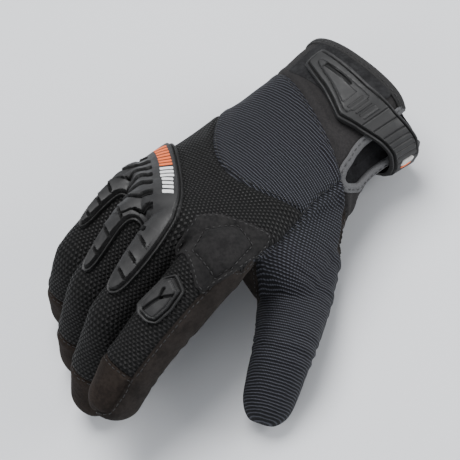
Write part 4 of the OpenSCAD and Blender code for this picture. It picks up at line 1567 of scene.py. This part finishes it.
WEB_OUTLINE = [
    (-18.5, 84, 21), (-24.5, 75.5, 21), (-35, 68, 18.5), (-45.5, 59.5, 12.8), (-48.3, 64, 9.5),
    (-49.2, 73, 8), (-50, 90, 7), (-50, 107, 6.5), (-46, 108.5, 9), (-36, 104, 16), (-21, 99.5, 12)]
WEB_PAD = [(-30, 86.5, 22), (-35.5, 72.5, 19), (-45.5, 73, 13), (-48.5, 90, 10.5), (-48, 99, 10),
           (-34, 99, 18)]
WEB_TOWARD = unit((0.5, -0.05, -0.86))


def web_patch(surface):
    """The suede patch between thumb and index finger, padded inside its stitched ring."""
    outline, pad = (tight(flat_on(corners, WEB_TOWARD)) for corners in (WEB_OUTLINE, WEB_PAD))
    p, tris, d = filled(outline, RELIEF_STEP * 1.4)
    spots, normals = surface.lay(p, tris, (8, 14), WEB_TOWARD)
    h = 0.9 * step_up(d, 0.2, 0.7) + 0.35 * bell(d, 2.2, 1.2)
    h += even(pad_rise(pad, 2.2, p), tris, 3) - 0.55 * bell(line_distance(p, pad, True)[0], 0, 0.8)
    h += 0.25 * noise_at(level(p), 9, 5)
    top = spots + normals * (h + 0.25)[:, None]
    points, faces, _ = closed_relief(top, spots - normals * 0.4, tris)
    obj = make_piece("web_patch", points, faces, [MATERIALS["web"]], angle=60)
    settle(obj, "hand", "web_suede", "web_patch", "web_foam")
    for name, line, lift in (("edge", inset(outline, 1.9), 1.45), ("pad", pad, 1.0)):
        ring_of_stitches(surface, f"web_patch_{name}_stitches", line, WEB_TOWARD, lift, "web_suede")


# ---------------------------------------------------------------- the wrist strap

STRAP_LOW = ([60, 72, 110, 143, 158, 172, 190, 232], [-28, -29.5, -28.5, -32, -35.5, -39, -41.5, -44])
STRAP_HIGH = ([60, 67, 73, 118, 142, 160, 175, 190, 232],
              [-24, -17.5, -15.8, -5, -11.5, -17.5, -21.5, -23.5, -25])
STRAP_TIP_TURN, STRAP_ROOT_TURN = 67.0, 232.0
STRAP_SPLIT = 171.0          # the turn at which the band ends and the tab begins
MM_PER_TURN = 0.66           # millimetres round the cuff for each degree of turn


def strap_place(u, y, d):
    """A point over the cuff: u is millimetres round it, y along the hand, d above the cloth."""
    return hand_skin(u / MM_PER_TURN, y, d)


def strap_frame(p):
    """The points of a flat piece laid on the cuff, and the directions out of the cloth there."""
    u, y = p.T
    du = strap_place(u + 0.5, y, 0.0) - strap_place(u - 0.5, y, 0.0)
    dy = strap_place(u, y + 0.5, 0.0) - strap_place(u, y - 0.5, 0.0)
    return strap_place(u, y, 0.0), unit(np.cross(dy, du))


def strap_lift(u):
    """The strap stands a little off the cloth, but not at its sewn root."""
    return 1.9 - 1.5 * smoothstep((u / MM_PER_TURN - 206) / 20)


def middle_of(turn):
    return (np.interp(turn, *STRAP_LOW) + np.interp(turn, *STRAP_HIGH)) / 2


def strap_outline():
    turns = np.arange(STRAP_TIP_TURN, STRAP_ROOT_TURN + 1, 5.0)
    low = [(t * MM_PER_TURN, np.interp(t, *STRAP_LOW)) for t in turns]
    high = [(t * MM_PER_TURN, np.interp(t, *STRAP_HIGH)) for t in turns[::-1]]
    return smooth_outline(low + high, 2)


WEDGE_HALF = ([74, 80, 116, 122], [0.0, 1.8, 7.0, 7.0])        # the long wedge on the tab
CORE_HALF = ([82, 112], [0.6, 4.4])                            # and the sunk field in it
SLIT_TURNS, SLIT_OFF = (84, 104), (-1.2, -3.4)
SHORT_RIB_TURNS, SHORT_RIB_PITCH = (117, 133), 3.6
CROSS_BARS = (136, 146, 156, 163, 169, 175, 181, 187)


def strap_height(p, d):
    """Lip, groove, the long wedge with its slit, the short ribs and the wide cross bars."""
    turn = p[:, 0] / MM_PER_TURN
    off = p[:, 1] - middle_of(turn)
    h, sunk = lip_and_body(d, 1.9, 0.95)
    beside = np.abs(off) - np.interp(turn, *WEDGE_HALF)
    on_wedge = (turn > 77) & (turn < 121)
    line = bell(beside, 0, 0.4) * on_wedge
    h += 0.45 * (1 - step_up(beside, 0, 0.4)) * on_wedge - 0.3 * line
    core = 1 - step_up(np.abs(off - 1.0), np.interp(turn, *CORE_HALF), 0.35)
    h -= 0.5 * core * (turn > 83) * (turn < 112.5)
    slit = np.array([(t * MM_PER_TURN, middle_of(t) + by) for t, by in zip(SLIT_TURNS, SLIT_OFF)])
    cut = 1 - step_up(line_distance(p, slit)[0], 0.75, 0.4)
    h -= 1.3 * cut
    sunk |= (cut > 0.5) | (line > 0.75)
    first, last = SHORT_RIB_TURNS
    zone = (turn > first) & (turn < last) & (np.abs(off) < 4.8)
    h += 0.45 * step_up(cosine(turn - first - 1, SHORT_RIB_PITCH), 0.1, 0.7) * zone
    for at in CROSS_BARS:
        bar = bell(turn, at, 0.75) * step_up(d, 2.9, 0.4)
        h -= 0.6 * bar
        sunk |= bar > 0.75
    return np.maximum(h, 0.35), sunk


def strap():
    """The band from its sewn root and the tab beyond it, parted where the tab begins; each is its own
    piece.
    """
    p, tris, d = filled(strap_outline(), RELIEF_STEP)
    base, normals = strap_frame(p)
    lift = strap_lift(p[:, 0])
    height, sunk = strap_height(p, d)
    top = base + normals * (lift + 0.6 + height)[:, None]
    bottom = base + normals * lift[:, None]
    on_band = p[tris].mean(1)[:, 0] / MM_PER_TURN > STRAP_SPLIT
    parts = (("strap_band", on_band, "hand", "strap_middle", 204,
              ("strap_root", "strap_band", "strap_band_grip")),
             ("strap_tab", ~on_band, "strap_middle", "strap_end", 138,
              ("strap_tip", "strap_tip_grip")))
    for name, own, before, after, hinge, nodes in parts:
        obj = rubber_piece(name, top, bottom, tris[own], sunk, "strap", flip=True)
        start, end = (tuple(to_row(strap_place(t * MM_PER_TURN, middle_of(hinge), 3.5)))
                      for t in (hinge + 7, hinge - 7))
        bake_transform(obj)
        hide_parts(*nodes)


# ---------------------------------------------------------------- cuff pieces, linings and pads

def cuff_sheet(name, turns, ys, low, high, material, slot, body="hand", relief=None, step=1.0):
    """A flat piece laid round the cuff, between two distances from its cloth."""
    u0, u1 = (t * MM_PER_TURN for t in turns)
    corners = [(u0, ys[0]), (u1, ys[0]), (u1, ys[1]), (u0, ys[1])]
    p, tris, d = filled(smooth_outline(resample(corners, 4, True), 2), step)
    base, normals = strap_frame(p)
    rise = high - 0.35 * (1 - smoothstep(d / 1.2))
    if relief is not None:
        rise = rise + relief(p, d)
    points, faces, used = closed_relief(base + normals * rise[:, None], base + normals * low,
                                        tris, flip=True)
    cloth = np.concatenate([p, p[:, :1]], 1)[used]
    obj = make_piece(name, points, faces, [MATERIALS[material]], angle=50,
                     weave=np.concatenate([cloth, cloth]))
    nodes = [] if name == "strap_label_bar" else [name]      # CAD has no bar of its own
    settle(obj, body, slot, *nodes)


# reliefs of the cuff's flat pieces: from a point on the piece and its distance to the edge

def hook_bristle(p, d):
    return 0.22 * cosine(p[:, 0], 2.1) * cosine(p[:, 1], 2.1)


def gathers(p, d):
    return 0.45 * cosine(p[:, 0], 4.2) * smoothstep(d / 2)


def pile(p, d):
    return 0.06 * noise_at(np.concatenate([p, p[:, :1]], 1), 1.2, 8)


def cuff_details():
    cuff_sheet("loop_patch", (50, 128), (-37, -12), 0.0, 0.75, "loop", "hook_and_loop", relief=pile)
    cuff_sheet("hook_patch", (74, 128), (-26, -15.5), 1.0, 1.85, "hook", "hook_and_loop",
               "strap_end", hook_bristle, 0.7)
    cuff_sheet("wrist_elastic", (206, 338), (-14, -6), -3.4, -2.6, "dark_tape", "elastic",
               relief=gathers)
    cuff_sheet("care_label", (262, 282), (-38, -18), -3.0, -2.6, "label", "woven_label")
    for name, turns, material in (("strap_label", (187, 194), "label"),
                                  ("strap_label_bar", (194.5, 197.5), "orange")):
        cuff_sheet(name, turns, (-36.5, -28), 4.2, 5.7, material, "woven_label",
                   "strap_middle", step=0.6)


def sweep(path, side, normal, profile):
    """A tape along a path: the profile's two numbers run along side and normal."""
    n, count = len(profile), len(path)
    verts = np.stack([path + side * a + normal * b for a, b in profile], 1).reshape(-1, 3)
    faces = [(i * n + j, i * n + (j + 1) % n, (i + 1) * n + (j + 1) % n, (i + 1) * n + j)
             for i in range(count - 1) for j in range(n)]
    faces += [tuple(range(n))[::-1], tuple((count - 1) * n + j for j in range(n))]
    return verts, faces


TAPE_PROFILE = [
    (3.6, 0.1), (3.5, 0.75), (3.1, 1.0), (1.8, 0.8), (0.5, 1.05), (-0.6, 0.8), (-1.15, 0.1),
    (-1.2, -0.9), (-0.7, -1.9), (0.4, -2.3), (2.4, -2.3), (2.6, -1.7), (0.3, -1.5), (0.2, -0.1)]
TAPE_STEP = 0.8
# from -1 to 1 along a stitch: the place, how thick it is there and how far it stands out
STITCH_RINGS = ((-1, 0.35, -0.25), (-0.72, 0.85, 0.0), (0, 1.0, 0.1), (0.72, 0.85, 0.0),
                (1, 0.35, -0.25))


def stitch_mesh(centres, along, normal, length, radius):
    """Short raised threads, one for each centre."""
    parts = []
    for c, a, side, n in zip(centres, along, np.cross(along, normal), normal):
        rings = []
        for t, r, out in STITCH_RINGS:
            middle = c + a * (t * length / 2) + n * out
            rings.append(np.array([middle + (side * math.cos(q) + n * math.sin(q)) * radius * r
                                   for q in np.radians(range(0, 360, 60))]))
        parts.append(loft(rings))
    return merged(parts)


def path_frame(path, normal):
    """Along and beside a path that lies on the cloth."""
    along = unit(np.gradient(path, axis=0))
    side = unit(np.cross(normal, along))
    return along, side


RIM_TURNS = (188.5, 510.5)      # from one side of the notch round to the other
NOTCH_TOP = 7.6


def rim_path(surface):
    turns = np.linspace(*RIM_TURNS, 300) % 360
    return surface.follow(hand_skin(turns, rim_y(turns)))


def notch_path(surface):
    angles = np.linspace(0, math.pi, 120)
    off = -np.cos(angles)
    turns = NOTCH_TURN + notch_half(off) * np.sign(off) * np.abs(off) ** 0.55
    y = rim_y(turns) + (NOTCH_TOP - rim_y(turns)) * np.sin(angles) ** 0.5
    # slide each point onto the notch's own edge
    for _ in range(8):
        f = notch_field(turns, y)
        fy = (notch_field(turns, y + 0.1) - f) / 0.1
        ft = (notch_field(turns + 0.1, y) - f) / 0.1
        size = np.maximum(fy ** 2 + ft ** 2, 1e-5)
        turns, y = turns - 0.7 * f * ft / size, y - 0.7 * f * fy / size
    keep = y > rim_y(turns) - 0.5
    return surface.follow(hand_skin(turns[keep], y[keep]))


def bindings(surface):
    """The tape over the cuff's rim and round the notch, with its row of stitches."""
    for name, (path, normal), tone in (("cuff_binding", rim_path(surface), "rim_tape"),
                                       ("notch_binding", notch_path(surface), "tape")):
        line = resample(np.concatenate([path, running_mean(normal, 4)], 1), TAPE_STEP)
        path, normal = line[:, :3], unit(line[:, 3:])
        along, side = path_frame(path, normal)
        # the wide side of the tape points into the cuff, or away from the notch
        inward = np.array([0, 1.0, 0]) if name == "cuff_binding" else path - path.mean(0)
        side = side * np.sign((side * inward).sum(1).mean())
        verts, faces = sweep(path, side, normal, TAPE_PROFILE)
        run = np.repeat(np.arange(len(path)) * TAPE_STEP, len(TAPE_PROFILE))
        across = np.tile([a for a, _ in TAPE_PROFILE], len(path))
        obj = make_piece(name, verts, faces, [MATERIALS[tone]],
                         weave=columns((across, run, run * 0)), angle=50)
        settle(obj, "hand", "binding_tape", name)
        picks = np.arange(2, len(path) - 2, 4)
        spots = path[picks] + side[picks] * 1.8 + normal[picks] * 0.85
        verts, faces = stitch_mesh(spots, along[picks], normal[picks], 2.2, 0.3)
        obj = make_piece(name + "_stitches", verts, faces, [MATERIALS["thread"]])
        settle(obj, "hand", "binding_tape")


def chains(edges):
    """Joins edges end to end into lines of vertex numbers."""
    links = {}
    for a, b in edges:
        links.setdefault(a, set()).add(b)
        links.setdefault(b, set()).add(a)
    lines = []
    while links:
        ends = [v for v in links if len(links[v]) != 2]
        v = min(ends) if ends else min(links)
        line = [v]
        while links.get(v):
            w = min(links[v])
            links[v].discard(w)
            links[w].discard(v)
            if not links[v]:
                del links[v]
            v = w
            line.append(v)
        links.pop(v, None)
        links = {k: n for k, n in links.items() if n}
        if len(line) > 12:
            lines.append(line)
    return lines


# for each sewn seam: how far beside it the stitches lie, and in which of its two panels
SEWN = {
    ("cuff_back", "rib"): (1.9, "rib"), ("mesh", "rib"): (1.8, "rib"),
    ("mesh", "thumb"): (1.8, "thumb"), ("rib", "thumb"): (1.8, "rib"),
    ("mesh", "palm"): (1.7, "palm"), ("cap", "palm"): (1.6, "palm"), ("cap", "mesh"): (1.7, "cap"),
    ("palm", "thumb"): (1.8, "palm"), ("cuff_palm", "palm"): (1.8, "palm")}


def seam_stitches(surface, skin, panel):
    """Rows of stitches beside the seams, grouped by the part of the glove whose cloth they sew."""
    edges, left, right = seam_edges(skin.t, panel)
    centre = skin.p[skin.t].mean(1)
    kinds = np.array(["|".join(sorted(pair)) for pair in zip(left, right)])
    groups = {}
    for pair, (gap, side_panel) in SEWN.items():
        anchors = tree_of(centre[panel == side_panel])
        for line in chains(edges[kinds == "|".join(pair)]):
            path = running_mean(resample(skin.p[line], 1.0), 3)
            _, normal = surface.follow(path)
            along, side = path_frame(path, normal)
            toward = np.array([anchors.find(q)[0][:] for q in path]) - path
            trial = [((path + side * s * gap - path) * toward).sum(1) for s in (1, -1)]
            pick = 1 if np.median(trial[0]) >= np.median(trial[1]) else -1
            spots, normal = surface.follow(path + side * pick * gap)
            for i in range(1, len(path) - 1, 3):
                stitch = (spots[i] + normal[i] * 0.12, along[i], normal[i])
                groups.setdefault(surface.region_at(spots[i]), []).append(stitch)
    for place, found in sorted(groups.items()):
        if place == "none":
            continue
        centres, along, normal = (np.array(v) for v in zip(*found))
        verts, faces = stitch_mesh(centres, unit(along), unit(normal), 2.1, 0.27)
        obj = make_piece(place + "_stitches", verts, faces, [MATERIALS["seam_thread"]])
        settle(obj, place, "binding_tape")


def ring_of_stitches(surface, name, outline, toward, lift, slot):
    """Stitches along a closed outline laid on a patch."""
    path = resample(outline, 1.0, True)
    spots, normal = surface.drop(path, toward)
    along, _ = path_frame(spots, normal)
    picks = np.arange(0, len(path) - 1, 3)
    centres = spots[picks] + normal[picks] * lift
    verts, faces = stitch_mesh(centres, along[picks], normal[picks], 2.0, 0.27)
    obj = make_piece(name, verts, faces, [MATERIALS["grey_thread"]])
    settle(obj, "hand", slot)


def inset(outline, by):
    """An outline drawn in by a distance toward its middle."""
    outline = np.asarray(outline, float)
    along = unit(np.roll(outline, -1, 0) - np.roll(outline, 1, 0))
    side = np.stack([-along[:, 1], along[:, 0]], 1)
    turn = np.sign(((outline.mean(0) - outline) * side).sum(1).mean())
    return outline + side * turn * by


PALM_PATCH = [(-24, 46), (0, 43), (26, 47), (31, 56), (27, 66), (4, 69), (-20, 67), (-27, 57)]
HEEL_PAD = [(13, 6), (27, 5), (36, 12), (37, 24), (33, 35), (22, 37), (14, 30), (11, 17)]


def palm_pads(surface):
    """The reinforcing patch across the palm and the padded heel."""
    up = (0, 0, 1)
    for name, corners, crown, fill, nodes in (
            ("palm_patch", PALM_PATCH, 0.5, 0.3, ["palm_patch"]),
            ("heel_pad", HEEL_PAD, 2.6, 0.5, ["heel_pad", "heel_pad_foam"])):
        outline = smooth_outline(corners, 3)
        p, tris, d = filled(outline, RELIEF_STEP * 1.4)
        spots, normals = surface.lay(p, tris, (6, 12), up)
        h = 0.8 * step_up(d, 0.2, 0.7) - 0.45 * bell(d, 2.4, 0.6)
        h += even(pad_rise(inset(outline, 2.6), crown, p), tris, 3) + 0.2 * noise_at(level(p), 8, 6)
        points, faces, _ = closed_relief(spots + normals * (h + 0.2)[:, None],
                                         spots - normals * 0.4, tris, flip=True)
        obj = make_piece(name, points, faces, [MATERIALS["palm"]], angle=60)
        settle(obj, "hand", "suede", *nodes)
        ring_of_stitches(surface, name + "_stitches", inset(outline, 2.4), up, 0.75, "suede")


def inner_layers(skin, panel, region):
    """The fleece lining, which also closes the notch, and the foam under the knuckle guard."""
    normals = vertex_normals(skin.p, skin.t)
    x, y, z = skin.p[skin.t].mean(1).T
    notch = (panel == "none") & (skin.rim[skin.t].mean(1) > 0)
    own = ((region == "hand") | notch) & (y < 66) & (y > -44)
    deep = 1.55 + 2.4 * smoothstep(skin.notch * 1.6) * (skin.y < 9)
    on_back = z > hand_centre_z(x, y)
    foam = (region == "hand") & (y > 56) & (y < 84) & (z > -2) & (x > -14) & (x < 44)
    for name, chosen, depth, thickness, kind in (
            ("back_lining", own & on_back, deep, 0.7, "lining"),
            ("palm_lining", own & ~on_back, deep, 0.7, "lining"),
            ("knuckle_foam", foam, deep * 0 + 2.4, 2.2, "foam")):
        points, faces, _, wall = shell(skin.p - normals * depth[:, None], skin.t[chosen],
                                       normals, thickness)
        obj = make_piece(name, points, faces, [MATERIALS[kind]], sharp=wall)
        settle(obj, "hand", kind, name)


add_camera()
add_stage()
add_lights()
skin = Skin(*build_skin())
cut_skin(skin)
panel, region = panel_of(skin)
shape_cloth(skin, panel)
cloth_panels(skin, panel, region)
inner_layers(skin, panel, region)
surface = Surface(skin, panel != "none", region)
knuckle_guard(surface)
guard_stripes(surface)
index_guard(surface)
web_patch(surface)
palm_pads(surface)
strap()
cuff_details()
bindings(surface)
seam_stitches(surface, skin, panel)
